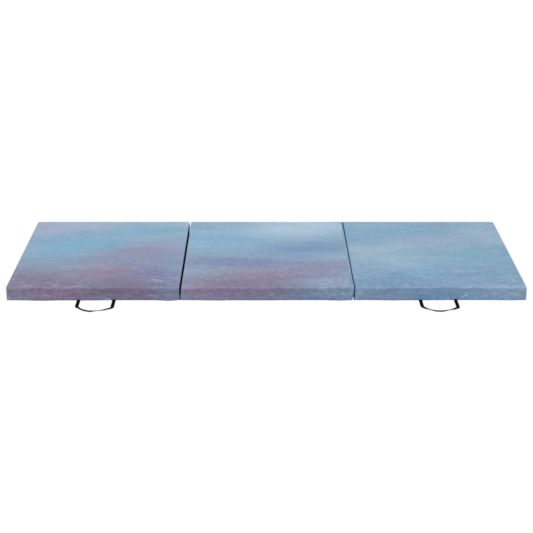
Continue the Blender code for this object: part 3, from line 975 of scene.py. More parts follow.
@dataclass
class PanelForm:
    """The rounded, crowned block that a panel's cover and foam both follow."""

    plan: PanelPlan
    offset: float = 0.0
    back_offset: float = 0.0
    spacing: float = 0.006
    half_arc: tuple[float, ...] = FINE_HALF_ARC
    corner_reach: float = 0.014
    foot_steps: int = 5

    def __post_init__(self) -> None:
        """Work out where the straight columns of each wall stand."""
        reach = self.corner_reach
        start, end = self.plan.slot_span()
        marks = [self.plan.x_low + reach, start, end, self.plan.x_high - reach]
        self.x_columns = self.even_marks(marks)
        self.y_columns = self.even_marks([reach - SIZES.half_width, SIZES.half_width - reach])

    def even_marks(self, marks: Sequence[float]) -> np.ndarray:
        """Return evenly spaced positions that include all the marks.

        Args:
            marks: Positions that must be among them, in order.

        Returns:
            All the positions.
        """
        found = [marks[0]]
        for start, end in zip(marks, marks[1:]):
            steps = max(1, round((end - start) / self.spacing))
            found.extend(start + (end - start) * step / steps for step in range(1, steps + 1))
        return np.array(found)

    def corner(self, x: float, y: float, radius: float, first: float) -> list[tuple[float, float]]:
        """Return a corner's arc.

        Args:
            x: X of the arc's centre.
            y: Y of the arc's centre.
            radius: Radius of the arc.
            first: Angle at which the arc begins, in degrees.

        Returns:
            Points of the arc.
        """
        turns = list(self.half_arc) + [90.0 - turn for turn in reversed(self.half_arc[:-1])]
        angles = [math.radians(first + turn) for turn in turns]
        return [(x + radius * math.cos(angle), y + radius * math.sin(angle)) for angle in angles]

    def ring(self, inset: float, z: float) -> np.ndarray:
        """Return the outline at a height, from the middle of the low front corner.

        Args:
            inset: How far the outline lies inside the panel's widest one.
            z: Its height.

        Returns:
            Points of the outline, anticlockwise, as an array of three columns.
        """
        plan, half = self.plan, SIZES.half_width
        x0, x1 = plan.x_low + inset + plan.low.inset(z), plan.x_high - inset - plan.high.inset(z)
        y0, y1 = inset - half, half - inset - self.back_offset
        radii = [
            max(SIZES.least_corner, (SIZES.fold_corner if wall.fold else SIZES.open_corner) - inset)
            for wall in (plan.low, plan.high, plan.high, plan.low)
        ]
        arcs = [
            self.corner(x0 + radii[0], y0 + radii[0], radii[0], 180.0),
            self.corner(x1 - radii[1], y0 + radii[1], radii[1], 270.0),
            self.corner(x1 - radii[2], y1 - radii[2], radii[2], 0.0),
            self.corner(x0 + radii[3], y1 - radii[3], radii[3], 90.0),
        ]
        xs, ys = self.x_columns, self.y_columns
        share = (xs - plan.x_low) / SIZES.pitch
        walls = [
            np.column_stack((xs, y0 + SIZES.draw_in * 4.0 * share * (1.0 - share))),
            np.column_stack((np.full(len(ys), x1), ys)),
            np.column_stack((xs[::-1], np.full(len(xs), y1))),
            np.column_stack((np.full(len(ys), x0), ys[::-1])),
        ]
        outline = []
        for arc, wall in zip(arcs, walls):
            outline.extend(arc)
            outline.extend(map(tuple, wall))
        start = len(self.half_arc) - 1
        outline = outline[start:] + outline[:start]
        return np.column_stack((np.array(outline), np.full(len(outline), z)))

    def side_counts(self) -> list[int]:
        """Return how many columns each side of the outline has, arcs included.

        Returns:
            One number per side, in the order of Side.
        """
        arc = 2 * len(self.half_arc) - 2
        across, deep = len(self.x_columns) + 1 + arc, len(self.y_columns) + 1 + arc
        return [across, deep, across, deep]

    def patch(self, ring: np.ndarray) -> np.ndarray:
        """Fill a ring with a grid.

        Args:
            ring: The outline, as ring() returns it.

        Returns:
            Grid points, indexed by column, row and coordinate.
        """
        across, deep = self.side_counts()[:2]
        closed = np.vstack((ring, ring[:1]))
        front, high = closed[: across + 1], closed[across : across + deep + 1]
        back = closed[across + deep : 2 * across + deep + 1][::-1]
        low = closed[2 * across + deep :][::-1]
        u = ((front[:, 0] - front[0, 0]) / (front[-1, 0] - front[0, 0]))[:, None, None]
        v = ((low[:, 1] - low[0, 1]) / (low[-1, 1] - low[0, 1]))[None, :, None]
        flat = (1 - v) * front[:, None] + v * back[:, None] + (1 - u) * low[None] + u * high[None]
        corners = (1 - u) * (1 - v) * front[0] + u * (1 - v) * front[-1]
        return flat - corners - (1 - u) * v * back[0] - u * v * back[-1]

    def crown(self, x: np.ndarray, y: np.ndarray) -> np.ndarray:
        """Return how far the padded top rises at a place.

        Args:
            x: Place along the mat.
            y: Place from front to back.

        Returns:
            The rise in metres.
        """
        gaps = (self.plan.head_gap(x), side_gap(y))
        shares = [np.clip((gap - SIZES.top_radius) / SIZES.crown_run, 0.0, 1.0) for gap in gaps]
        first, second = (1.0 - (1.0 - share) ** 2 for share in shares)
        return SIZES.crown_rise * first * second

    def section(
        self, heights: Sequence[float], foot_z: float, arc_steps: int = 8
    ) -> list[tuple[float, float]]:
        """Return inset and height of the wall, from the foot to the top's flat.

        Args:
            heights: Heights of the rows on the straight part.
            foot_z: Height at which the section starts.
            arc_steps: Steps of the rounded top edge.

        Returns:
            One pair per row.
        """
        low_z, high_z = SIZES.foot_radius, SIZES.edge - SIZES.top_radius
        foot, head = SIZES.foot_radius - self.offset, SIZES.top_radius - self.offset
        start = math.acos(min(1.0, (low_z - foot_z) / foot))
        rows = []
        for step in range(self.foot_steps + 1):
            angle = start + (math.pi / 2 - start) * step / self.foot_steps
            rows.append((SIZES.foot_radius - foot * math.sin(angle), low_z - foot * math.cos(angle)))
        rows += [(self.offset, z) for z in heights]
        for step in range(arc_steps + 1):
            angle = math.pi / 2 * step / arc_steps
            rows.append((SIZES.top_radius - head * math.cos(angle), high_z + head * math.sin(angle)))
        return rows


@dataclass
class Shell:
    """Rows of an open or closed block with the sides that its faces belong to."""

    form: PanelForm
    rows: list[np.ndarray]
    floor: bool = False

    def build(self) -> tuple[np.ndarray, list[tuple[int, ...]], list[Side | None]]:
        """Join the rows, the top grid and, for a block, the bottom grid.

        Returns:
            Points, faces, and the side of each face (None on top and bottom).
        """
        counts = self.form.side_counts()
        around = sum(counts)
        sides = [side for side, count in zip(Side, counts) for _ in range(count)]
        points = [np.vstack(self.rows)]
        faces = []
        for number in range(len(self.rows) - 1):
            low, high = number * around, (number + 1) * around
            for index in range(around):
                after = (index + 1) % around
                faces.append((low + index, low + after, high + after, high + index))
        face_sides = sides * (len(self.rows) - 1)
        ends = [(len(self.rows) - 1, False)] + ([(0, True)] if self.floor else [])
        total = len(points[0])
        for number, flip in ends:
            inner, quads = self.fill(number, total)
            points.append(inner)
            total += len(inner)
            faces += [quad[::-1] for quad in quads] if flip else quads
            face_sides += [None] * len(quads)
        return np.vstack(points), faces, face_sides

    def fill(self, number: int, first: int) -> tuple[np.ndarray, list[tuple[int, ...]]]:
        """Fill one row's ring with a grid.

        Args:
            number: Which row.
            first: Number that the first new point gets.

        Returns:
            The new inner points and the quads.
        """
        across, deep = self.form.side_counts()[:2]
        around = 2 * (across + deep)
        grid = self.form.patch(self.rows[number])
        numbers = np.zeros((across + 1, deep + 1), int)
        base = number * around
        numbers[:, 0] = base + np.arange(across + 1)
        numbers[-1, :] = base + across + np.arange(deep + 1)
        numbers[:, -1] = base + across + deep + np.arange(across, -1, -1)
        numbers[0, 1:] = base + 2 * across + deep + np.arange(deep - 1, -1, -1)
        numbers[1:-1, 1:-1] = first + np.arange((across - 1) * (deep - 1)).reshape(across - 1, deep - 1)
        inner = grid[1:-1, 1:-1].reshape(-1, 3)
        quads = [
            (numbers[i, j], numbers[i + 1, j], numbers[i + 1, j + 1], numbers[i, j + 1])
            for i in range(across) for j in range(deep)
        ]
        return inner, [tuple(int(n) for n in quad) for quad in quads]


CORNER_PUSH, CORNER_PUSH_DEPTH, CORNER_PUSH_REACH = 0.0016, 0.035, 0.025


def corner_push(y: np.ndarray | float) -> np.ndarray | float:
    """Return how far the high fold is pushed sideways near its front end."""
    return CORNER_PUSH * hump(y + SIZES.half_width, CORNER_PUSH_DEPTH)


def push_corner(points: np.ndarray, x: np.ndarray, y: np.ndarray) -> None:
    """Push what lies beside the high fold's front end sideways, in place."""
    points[:, 0] += corner_push(y) * hump(x - SIZES.pitch / 2, CORNER_PUSH_REACH)


def cut_place(point: np.ndarray, side: Side | None) -> tuple[float, float]:
    """Return where a point of the cover lies on the cloth as it was cut.

    Args:
        point: The point on the panel.
        side: The wall that it is on, or None on the top.

    Returns:
        U and V in metres.
    """
    x, y, z = point
    drop = SIZES.edge - z
    if side is Side.FRONT:
        return x, y - drop
    if side is Side.BACK:
        return x, y + drop
    if side is Side.HIGH:
        return x + drop, y
    if side is Side.LOW:
        return x - drop, y
    return x, y


# Sub-assemblies


@dataclass
class ClothSimulation:
    """A puff of air that gives a cover the tight, uneven swell of real cloth."""

    form: PanelForm
    pressure: float = 4.0
    frames: int = 20
    quality: int = 5
    point_mass: float = 0.25
    stiffness: float = 25.0
    bending: float = 1.5
    cage_spacing: float = 0.016
    cage_foot: float = 0.0013
    held_height: float = 0.002

    def displacement(self, points: np.ndarray) -> np.ndarray:
        """Blow up a coarse cage of the panel and read how far each point moves.

        Args:
            points: Points of the fine cover.

        Returns:
            One movement per point, in metres.
        """
        form = PanelForm(self.form.plan, spacing=self.cage_spacing, half_arc=COARSE_HALF_ARC)
        rows = [form.ring(*row) for row in form.section(COARSE_ROWS, self.cage_foot, COARSE_ARC_STEPS)]
        cage_points, faces, _ = Shell(form, rows, floor=True).build()
        mesh = bpy.data.meshes.new("cage")
        mesh.from_pydata(cage_points.tolist(), [], faces)
        cage, scene = put_in_scene("cage", mesh), bpy.context.scene
        self.add_cloth(cage, [int(n) for n in np.nonzero(cage_points[:, 2] < self.held_height)[0]])
        for number in range(1, self.frames + 1):
            scene.frame_set(number)
        evaluated = cage.evaluated_get(bpy.context.evaluated_depsgraph_get())
        moved = np.array([tuple(vertex.co) for vertex in evaluated.data.vertices]) - cage_points
        tree = BVHTree.FromPolygons([Vector(point) for point in cage_points], faces)
        found = np.zeros_like(points)
        for number, point in enumerate(points):
            near, _, face, _ = tree.find_nearest(Vector(point))
            weights = poly_3d_calc([Vector(cage_points[n]) for n in faces[face]], near)
            found[number] = np.array(weights) @ moved[list(faces[face])]
        cage.modifiers.clear()
        bpy.data.objects.remove(cage)
        bpy.data.meshes.remove(mesh)
        scene.frame_set(1)
        return found

    def add_cloth(self, cage: bpy.types.Object, held_points: list[int]) -> None:
        """Give the cage its cloth settings.

        Args:
            cage: The cage.
            held_points: Numbers of the points that stay where they are.
        """
        held = cage.vertex_groups.new(name="held")
        held.add(held_points, 1.0, "REPLACE")
        cloth = cage.modifiers.new("cloth", "CLOTH")
        settings = cloth.settings
        settings.quality = self.quality
        settings.mass = self.point_mass
        settings.tension_stiffness = settings.compression_stiffness = self.stiffness
        settings.bending_stiffness = self.bending
        settings.use_pressure = True
        settings.uniform_pressure_force = self.pressure
        settings.vertex_group_mass = held.name
        settings.effector_weights.gravity = 0.0
        cloth.point_cache.frame_start, cloth.point_cache.frame_end = 1, self.frames


@dataclass(frozen=True)
class Swell:
    """Where the filling pushes a fold wall out: how far, from what depth on and at what height.

    The depth is counted to the back, and with a way of -1 to the front.
    """

    size: float
    start: float
    run: float
    height: float
    spread: float
    way: int = 1

    def push(self, y: np.ndarray, z: np.ndarray) -> np.ndarray:
        """Return how far the wall is pushed out at a place."""
        return self.size * ease((self.way * y - self.start) / self.run) * hump(z - self.height, self.spread)


LOW_FOLD_SWELLS = (Swell(0.0019, 0.19, 0.07, 0.030, 0.012), Swell(0.0012, 0.27, 0.03, 0.006, 0.014, -1))
HIGH_FOLD_SWELLS = (Swell(0.0018, -0.299, 0.012, 0.008, 0.014),)


@dataclass
class PanelCover:
    """Printed cover of one panel, with its dark fold walls and its zip slot."""

    plan: PanelPlan
    rim_z: float = 0.00105
    rim_turns: tuple[float, float] = (0.006, 0.002)
    first_row: float = 0.0060
    last_row_drop: float = 0.0006
    rows_below: int = 5
    rows_above: int = 6
    slot_seam: float = 0.0018
    top_limit: float = 0.0019
    even_share: float = 0.6
    uneven_share: float = 0.4
    wall_limit: float = 0.0006
    wall_softness: float = 0.006
    fold_reach: float = 0.02
    fold_side: float = 0.012
    wave_height: float = 0.018
    front_start: float = 0.006
    front_run: float = 0.003
    corner_drop: float = 0.0006
    corner_reach: float = 0.022
    seam_depth: float = 0.0005
    seam_inset: float = 0.0025
    seam_reach: float = 0.0016
    seam_foot: float = 0.004
    top_band: float = 0.002
    wall_band: float = 0.008
    pucker: float = 0.00022
    pucker_rates: tuple[float, float, float] = (70.0, 70.0, 40.0)
    pucker_edge: float = 0.02
    pucker_foot: float = 0.010
    pucker_wall_share: float = 0.4
    slack: float = 0.00028
    slack_rate: float = 9.0
    slack_shift: float = 7.0
    # Where the rounded edges get rubbed wear and a painted highlight.
    wear_and_highlight_drop: float = 0.0014
    wear_and_highlight_height: float = 0.0022
    wear_and_highlight_inset: float = 0.003
    ridge_width: float = 0.0035
    upright_width: float = 0.004
    upright_wear_and_highlight: float = 0.6
    lowest: float = 0.00102

    def heights(self) -> list[float]:
        """Return heights of the wall's rows, closer at seams and slot edges.

        Returns:
            The heights, upwards.
        """
        half, seam = SIZES.slot_half, self.slot_seam
        slot = [SIZES.zip_height + share * half for share in (-1.0, -0.5, 0.0, 0.5, 1.0)]
        below = np.linspace(self.first_row, slot[0] - seam, self.rows_below)
        last = SIZES.edge - SIZES.top_radius - self.last_row_drop
        above = np.linspace(slot[-1] + seam, last, self.rows_above)
        return [*below, slot[0] - seam / 3, *slot, slot[-1] + seam / 3, *above]

    def build(self) -> bpy.types.Object:
        """Returns:
            The cover.
        """
        form = PanelForm(self.plan)
        section = form.section(self.heights(), self.rim_z)
        rim_inset, rim_z = section[0]
        section = [(rim_inset + turn, rim_z) for turn in self.rim_turns] + section
        points, faces, sides = Shell(form, [form.ring(*row) for row in section]).build()
        rest = points.copy()
        # Rubbed wear and painted highlight along the rounded edges, stored for the print.
        wear = self.edge_wear_and_highlight(rest)
        self.swell(points, form)
        self.bulge(points, rest)
        self.settle(points, rest)
        draft = Draft([Vector(point) for point in points])
        for corners, side in zip(faces, sides):
            centre = rest[list(corners)].mean(axis=0)
            if not self.in_slot(centre, side):
                uvs = [cut_place(rest[n], side) for n in corners]
                draft.face(corners, uvs, self.finish_number(centre, side))
        finishes = (COVER_PRINTS[self.plan.name], FOLD_CLOTH, HINGE_AND_CREASE_SHADE_CLOTH)
        piece = draft.piece(f"cover_cloth_{self.plan.name}", finishes)
        layer = piece.data.attributes.new(WEAR_AND_HIGHLIGHT_NAME, "FLOAT", "POINT")
        layer.data.foreach_set("value", wear.astype(np.float32))
        thicken(piece, SIZES.cloth)
        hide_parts(f"cover_{self.plan.name}")
        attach(piece, self.plan.body)
        report(piece)
        return piece

    def finish_number(self, centre: np.ndarray, side: Side | None) -> int:
        """Return the finish of a face: print, dark wall of the low fold or wall of the high fold.

        Args:
            centre: Middle of the face.
            side: The wall that it is on, if any.

        Returns:
            The finish's number.
        """
        wall = {Side.LOW: self.plan.low, Side.HIGH: self.plan.high}.get(side)
        if wall is None or not wall.fold:
            return 0
        x, y, z = centre
        if abs(y) > SIZES.half_width - SIZES.fold_corner or z > SIZES.edge - SIZES.top_radius:
            return 0
        return 1 if x < 0.0 else 2

    def in_slot(self, centre: np.ndarray, side: Side | None) -> bool:
        """Return whether a face lies in the zip's slot.

        Args:
            centre: Middle of the face.
            side: The wall that it is on, if any.

        Returns:
            Whether it does.
        """
        x, _, z = centre
        start, end = self.plan.slot_span()
        return side is Side.BACK and start < x < end and abs(z - SIZES.zip_height) < SIZES.slot_half

    def edge_wear_and_highlight(self, points: np.ndarray) -> np.ndarray:
        """Return the rubbed wear and painted highlight of the cloth: 1 on the rounded edges, 0 on flats.

        Args:
            points: The cover's points before it swells.

        Returns:
            One value per point.
        """
        x, y, z = points.T
        head = hump(z - SIZES.edge + self.wear_and_highlight_drop, self.wear_and_highlight_height)
        gap = np.minimum(self.plan.head_gap(x), side_gap(y))
        ridge = head * hump(np.maximum(gap - self.wear_and_highlight_inset, 0.0), self.ridge_width)
        end = np.maximum(self.plan.end_gap(x) - self.wear_and_highlight_inset, 0.0)
        side = np.maximum(side_gap(y) - self.wear_and_highlight_inset, 0.0)
        upright = hump(np.hypot(end, side), self.upright_width)
        return np.clip(np.maximum(ridge, upright * self.upright_wear_and_highlight), 0.0, 1.0)

    def swell(self, points: np.ndarray, form: PanelForm) -> None:
        """Raise the padded top and ease the walls out, in place.

        Args:
            points: The cover's points.
            form: The panel's form.
        """
        x, y, z = points.T
        top, fair = on_top(z), form.crown(x, y)
        moved = ClothSimulation(form).displacement(points)
        lift = np.maximum(moved[:, 2], 0.0)
        uneven = self.top_limit * np.tanh(lift / (4.0 * self.top_limit))
        points[:, 2] += top * (self.even_share * fair + self.uneven_share * uneven)
        moved[:, 2] = 0.0
        length = np.linalg.norm(moved, axis=1, keepdims=True) + 1e-9
        middle = (np.clip(z / SIZES.edge, 0.0, 1.0) * np.pi)[:, None]
        moved *= self.wall_limit * np.tanh(length / self.wall_softness) / length * np.sin(middle)
        points += moved * (1.0 - self.shut_by_fold(points))[:, None]

    def shut_by_fold(self, points: np.ndarray) -> np.ndarray:
        """Return 1 near a fold wall, where the cloth has no room, and 0 elsewhere.

        Args:
            points: The cover's points.

        Returns:
            One value per point.
        """
        x = points[:, 0]
        share = np.zeros(len(points))
        for wall, gap in ((self.plan.low, x - self.plan.x_low), (self.plan.high, self.plan.x_high - x)):
            if wall.fold:
                share = np.maximum(share, hump(gap, self.fold_reach))
        return share

    def bulge(self, points: np.ndarray, rest: np.ndarray) -> None:
        """Shape the foot and the fold walls, where the filling pushes, and the mat's corners, in place.

        Args:
            points: The cover's points.
            rest: The same before the cover swells.
        """
        x, y, z = rest.T
        front = ease((-y - SIZES.half_width + self.front_start) / self.front_run)
        points[:, 1] -= self.plan.foot_wave(x) * hump(z, self.wave_height) * front
        for fold_x, swells in ((-SIZES.pitch / 2, LOW_FOLD_SWELLS), (SIZES.pitch / 2, HIGH_FOLD_SWELLS)):
            side = np.where(np.abs(x - fold_x) < self.fold_side, np.sign(fold_x - x), 0.0)
            points[:, 0] += sum(swell.push(y, z) for swell in swells) * side
        push_corner(points, x, y)
        corner_gap = np.hypot(SIZES.length / 2 - np.abs(x), SIZES.half_width - np.abs(y))
        points[:, 2] -= self.corner_drop * on_top(z) * hump(corner_gap, self.corner_reach)

    def settle(self, points: np.ndarray, rest: np.ndarray) -> None:
        """Add slack waves, puckers at the seams and the corner seams, in place.

        Args:
            points: The cover's points.
            rest: The same before the cover swells.
        """
        plan, half = self.plan, SIZES.half_width
        room = 1.0 - self.shut_by_fold(rest)
        shift = Vector((plan.number * self.slack_shift, 0.0, 0.0))
        for number, (x, y, z) in enumerate(rest):
            broad = self.slack * noise.noise(Vector((x, y, z)) * self.slack_rate + shift)
            spot = Vector([place * rate for place, rate in zip((x, y, z), self.pucker_rates)])
            fine = self.pucker * noise.noise(spot)
            side, end = half - abs(y), min(x - plan.x_low, plan.x_high - x)
            if z > SIZES.edge - self.top_band:
                points[number, 2] += broad + fine * math.exp(-((min(side, end) / self.pucker_edge) ** 2))
                continue
            outward = Vector((0.0, 0.0, 0.0))
            if side < self.wall_band:
                outward.y = math.copysign(1.0, y)
            if end < self.wall_band:
                outward.x = -1.0 if x - plan.x_low < self.wall_band else 1.0
            if outward.length == 0.0:
                continue
            outward.normalize()
            near_foot = math.exp(-((z / self.pucker_foot) ** 2))
            depth = (fine * (self.pucker_wall_share + near_foot) + broad) * room[number]
            corner = math.hypot(end - self.seam_inset, side - self.seam_inset)
            groove = self.seam_depth * math.exp(-((corner / self.seam_reach) ** 2))
            points[number] += np.array(outward) * (depth - (groove if z > self.seam_foot else 0.0))
        points[:, 2] = np.minimum(points[:, 2], SIZES.highest)
        points[:, 2] = np.maximum(points[:, 2], self.lowest)


@dataclass
class FoamBlock:
    """Foam slab inside one cover."""

    plan: PanelPlan
    offset: float = 0.0016
    back_gap: float = 0.0026
    spacing: float = 0.020
    foot_z: float = 0.0021
    top_gap: float = 0.0003

    def build(self) -> bpy.types.Object:
        """Returns:
            The slab.
        """
        form = PanelForm(self.plan, self.offset, self.back_gap, self.spacing, COARSE_HALF_ARC)
        section = form.section(COARSE_ROWS, self.foot_z, COARSE_ARC_STEPS)
        points, faces, _ = Shell(form, [form.ring(*row) for row in section], floor=True).build()
        points[:, 2] += on_top(points[:, 2]) * (form.crown(points[:, 0], points[:, 1]) - self.top_gap)
        push_corner(points, *points[:, :2].T.copy())
        draft = Draft([Vector(point) for point in points])
        for corners in faces:
            draft.face(corners, [(points[n, 0], points[n, 1]) for n in corners])
        piece = draft.piece(f"foam_block_{self.plan.name}", (FOAM,))
        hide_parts(f"foam_{self.plan.name}")
        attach(piece, self.plan.body)
        report(piece)
        return piece


@dataclass
class Stitching:
    """A row of stitches along a straight seam."""

    length: float = 0.0028
    gap: float = 0.0009
    radius: float = 0.00024
    sides: int = 6
    profile: tuple[tuple[float, float, float], ...] = (
        (-0.5, -0.6, 0.5), (-0.3, 0.35, 1.0), (0.0, 0.6, 1.0), (0.3, 0.35, 1.0), (0.5, -0.6, 0.5)
    )

    def sew(self, draft: Draft, start: Vector, end: Vector, up: Vector) -> None:
        """Add the stitches to a draft.

        Args:
            draft: What the stitches are added to.
            start: Where the row starts, on the cloth.
            end: Where it ends.
            up: Direction away from the cloth.
        """
        run, pitch = end - start, self.length + self.gap
        along = run.normalized()
        across = along.cross(up).normalized()
        count = int(run.length // pitch)
        spare = (run.length - count * pitch) / 2
        for number in range(count):
            middle = start + along * (spare + (number + 0.5) * pitch)
            rings = []
            for share, height, width in self.profile:
                centre = middle + along * (share * self.length) + up * (height * self.radius)
                rings.append([
                    centre + (across * math.cos(turn) + up * math.sin(turn)) * (self.radius * width)
                    for turn in (2 * math.pi * side / self.sides for side in range(self.sides))
                ])
            draft.sweep(rings)


@dataclass
class BaseCloth:
    """Dark non-slip cloth under one panel, with its sewn border."""

    plan: PanelPlan
    spacing: float = 0.010
    border: float = 0.007
    border_marks: tuple[float, ...] = (0.0, 0.002, 0.0045, 0.006, 0.007, 0.008, 0.0095, 0.012)
    groove_depth: float = 0.00025
    groove_width: float = 0.0009
    wave_size: float = 0.00010
    wave_rate: float = 30.0
    wave_layer: float = 3.0
    front_reach: float = 0.020
    level: float = 0.00008
    lowest: float = 0.00004
    skin_gap: float = 0.0002

    def build(self) -> bpy.types.Object:
        """Make the cloth.

        Returns:
            The cloth.
        """
        low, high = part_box(f"base_{self.plan.name}")
        xs = self.marks(low.x, high.x)
        draft = Draft()
        for y in self.marks(low.y, high.y):
            for x in xs:
                gap = min(x - low.x, high.x - x, y - low.y, high.y - y)
                groove = self.groove_depth * math.exp(-(((gap - self.border) / self.groove_width) ** 2))
                spot = Vector((x * self.wave_rate, y * self.wave_rate, self.wave_layer))
                wave = self.wave_size * noise.noise(spot)
                out = float(self.plan.foot_wave(x) * ease((low.y + self.front_reach - y) / self.front_reach))
                draft.points.append(Vector((x, y - out, max(self.lowest, self.level + groove + wave))))
        draft.grid([0] * (len(xs) - 1), face_down=True)
        piece = draft.piece(f"base_cloth_{self.plan.name}", (BASE_CLOTH,))
        thicken(piece, SIZES.base - self.skin_gap)
        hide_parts(f"base_{self.plan.name}")
        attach(piece, self.plan.body)
        report(piece)
        return piece

    def marks(self, low: float, high: float) -> list[float]:
        """Return grid positions from one edge to the other, closer at the border.

        Args:
            low: The lower edge.
            high: The upper edge.

        Returns:
            The positions, in order.
        """
        inner = self.border_marks
        start, end = low + inner[-1], high - inner[-1]
        steps = round((end - start) / self.spacing)
        middle = [start + (end - start) * step / steps for step in range(1, steps)]
        return [low + step for step in inner] + middle + [high - step for step in reversed(inner)]


@dataclass
class FoldStrip:
    """Hinge cloth of one fold, between its two panels."""

    name: str
    bodies: tuple[str, str]
    fold_x: float
    shift: float
    half_width: float
    skin: float
    bend: float
    levels: tuple[tuple[float, float], ...]
    half_length: float
    # Half the width of the dark middle that paints the shade in the high fold's crease.
    crease_shade_half: float
    print_name: str | None = None
    rows: int = 120
    bend_columns: int = 6
    flat_columns: int = 8

    def build(self) -> bpy.types.Object:
        """Make the strip.

        Returns:
            The strip.
        """
        offsets = self.offsets()
        known_x, known_z = zip(*self.levels)
        draft = Draft()
        for y in np.linspace(-self.half_length, self.half_length, self.rows + 1):
            push = float(corner_push(y)) if self.print_name else 0.0
            for offset in offsets:
                z = float(np.interp(abs(offset), known_x, known_z))
                draft.points.append(Vector((self.fold_x + self.shift + push + offset, y, z)))
        middles = [abs(first + second) / 2 for first, second in zip(offsets, offsets[1:])]
        # Painted crease shade: dark hinge cloth in the middle of the high fold's strip, print on its wings.
        draft.grid([1 if self.print_name and middle > self.crease_shade_half else 0 for middle in middles])
        finishes = [HINGE_AND_CREASE_SHADE_CLOTH, COVER_PRINTS[self.print_name]] if self.print_name else [HINGE_AND_CREASE_SHADE_CLOTH]
        piece = draft.piece(f"fold_cloth_{self.name}", finishes)
        thicken(piece, self.skin)
        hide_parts(f"hinge_strip_{self.name}")
        2 * self.half_length
        self.fold_x - self.bend
        self.fold_x + self.bend
        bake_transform(piece)
        report(piece)
        return piece

    def offsets(self) -> list[float]:
        """Return the columns' distances from the fold, close together at the bend."""
        fine = list(np.linspace(0.0, self.bend, self.bend_columns))
        fine += list(np.linspace(self.bend, self.half_width, self.flat_columns)[1:])
        return [-offset for offset in reversed(fine[1:])] + fine


@dataclass
class HandLoop:
    """Flat webbing loop on the front of an outer panel."""

    panel: str
    centre_x: float
    leans: tuple[tuple[float, float], ...]
    spacing: float = 0.124
    reach: float = 0.0858
    apex_shift: float = -0.005
    radii: tuple[float, float] = (0.062, 0.091)
    corner_run: float = 0.004
    width: float = 0.0130
    thickness: float = 0.0013
    drop_run: float = 0.012
    sewn_in: float = 0.020
    seam_z: float = 0.00195
    lying_z: float = 0.00068
    widest_turn: float = 0.95
    leg_steps: int = 34
    corner_steps: int = 8
    arc_steps: int = 24
    ribs: int = 5
    rib_steps: int = 4
    rib_height: float = 0.00010
    rib_depth: float = 0.00012
    selvedge: float = 0.0006
    edge_inset: float = 0.00018
    edge_share: float = 0.62

    def half_line(self, side: int, radius: float) -> list[Vector]:
        """Return half of the centre line, from inside the seam to the apex.

        Args:
            side: -1 for the low leg and 1 for the high leg.
            radius: Radius of this half's arc.

        Returns:
            Points of (across, outward).
        """
        leg, centre = side * self.spacing / 2, self.reach - radius
        turn = math.asin(min(self.widest_turn, abs(leg - self.apex_shift) / radius))
        corner = Vector((leg, centre + radius * math.cos(turn)))
        end = turn - self.corner_run / radius

        def on_arc(angle: float) -> Vector:
            """Return the arc's point at an angle from the apex."""
            across = self.apex_shift + side * radius * math.sin(angle)
            return Vector((across, centre + radius * math.cos(angle)))

        leg_end = corner - Vector((0.0, self.corner_run))
        steps = self.leg_steps
        line = [Vector((leg, -self.sewn_in + (leg_end.y + self.sewn_in) * n / steps)) for n in range(steps)]
        for step in range(self.corner_steps + 1):
            share = step / self.corner_steps
            line.append(leg_end.lerp(corner, share).lerp(corner.lerp(on_arc(end), share), share))
        line += [on_arc(end * (1.0 - step / self.arc_steps)) for step in range(1, self.arc_steps)]
        return line

    def line(self) -> list[Vector]:
        """Return the whole centre line."""
        first, second = (self.half_line(side, radius) for side, radius in zip((-1, 1), self.radii))
        return first + [Vector((self.apex_shift, self.reach))] + second[::-1]

    def height(self, out: float) -> float:
        """Return the height of the strap's middle plane at a distance from the seam."""
        return self.seam_z + (self.lying_z - self.seam_z) * float(ease(out / self.drop_run))

    def tilt(self, across: float) -> float:
        """Return how far the strap leans at a place across the loop.

        Args:
            across: Distance from the loop's middle.

        Returns:
            The lean in radians.
        """
        for (x0, lean0), (x1, lean1) in zip(self.leans, self.leans[1:]):
            if x0 <= across <= x1:
                return math.radians(lean0 + (lean1 - lean0) * float(ease((across - x0) / (x1 - x0))))
        return 0.0

    def profile(self) -> list[tuple[float, float]]:
        """Return the strap's section: ribbed faces and round selvedges.

        Returns:
            Points of (across, height).
        """
        half, thick = self.width / 2, self.thickness / 2
        steps = self.rib_steps * self.ribs
        face = []
        for step in range(steps + 1):
            across = -half + self.selvedge + (self.width - 2 * self.selvedge) * step / steps
            rib = self.rib_height * abs(math.sin(math.pi * self.ribs * step / steps))
            face.append((across, thick - self.rib_depth + rib))
        inset, level = half - self.edge_inset, thick * self.edge_share
        edge = [(inset, level), (half, 0.0), (inset, -level)]
        under = [(-across, -level) for across, level in face]
        return face + edge + under + [(-across, -level) for across, level in edge]

    def build(self) -> bpy.types.Object:
        """Make the loop.

        Returns:
            The loop.
        """
        line, rings = self.line(), []
        for index, point in enumerate(line):
            ahead, behind = line[min(index + 1, len(line) - 1)], line[max(index - 1, 0)]
            along = (ahead - behind).normalized()
            outward = Vector((-along.y, -along.x, 0.0))
            tilt = self.tilt(point.x)
            rise = math.sin(tilt) * self.width / 2
            middle = Vector((
                self.centre_x + point.x, -SIZES.half_width - point.y, self.height(point.y) + rise
            ))
            across = outward * math.cos(tilt) + Vector((0.0, 0.0, math.sin(tilt)))
            flow = Vector((along.x, -along.y, 0.0))
            up = across.cross(flow).normalized()
            if up.z < 0:
                up = -up
            rings.append([middle + across * a + up * b for a, b in self.profile()])
        draft = Draft()
        draft.sweep(rings)
        piece = draft.piece(f"hand_loop_{self.panel}", (WEBBING,), 50.0)
        names = [f"handle_{self.panel}"] + [f"handle_{self.panel}_end_{letter}" for letter in "ab"]
        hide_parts(*names)
        seam = -SIZES.half_width
        seam + 0.0005
        seam - 0.0025
        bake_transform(piece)
        report(piece)
        return piece


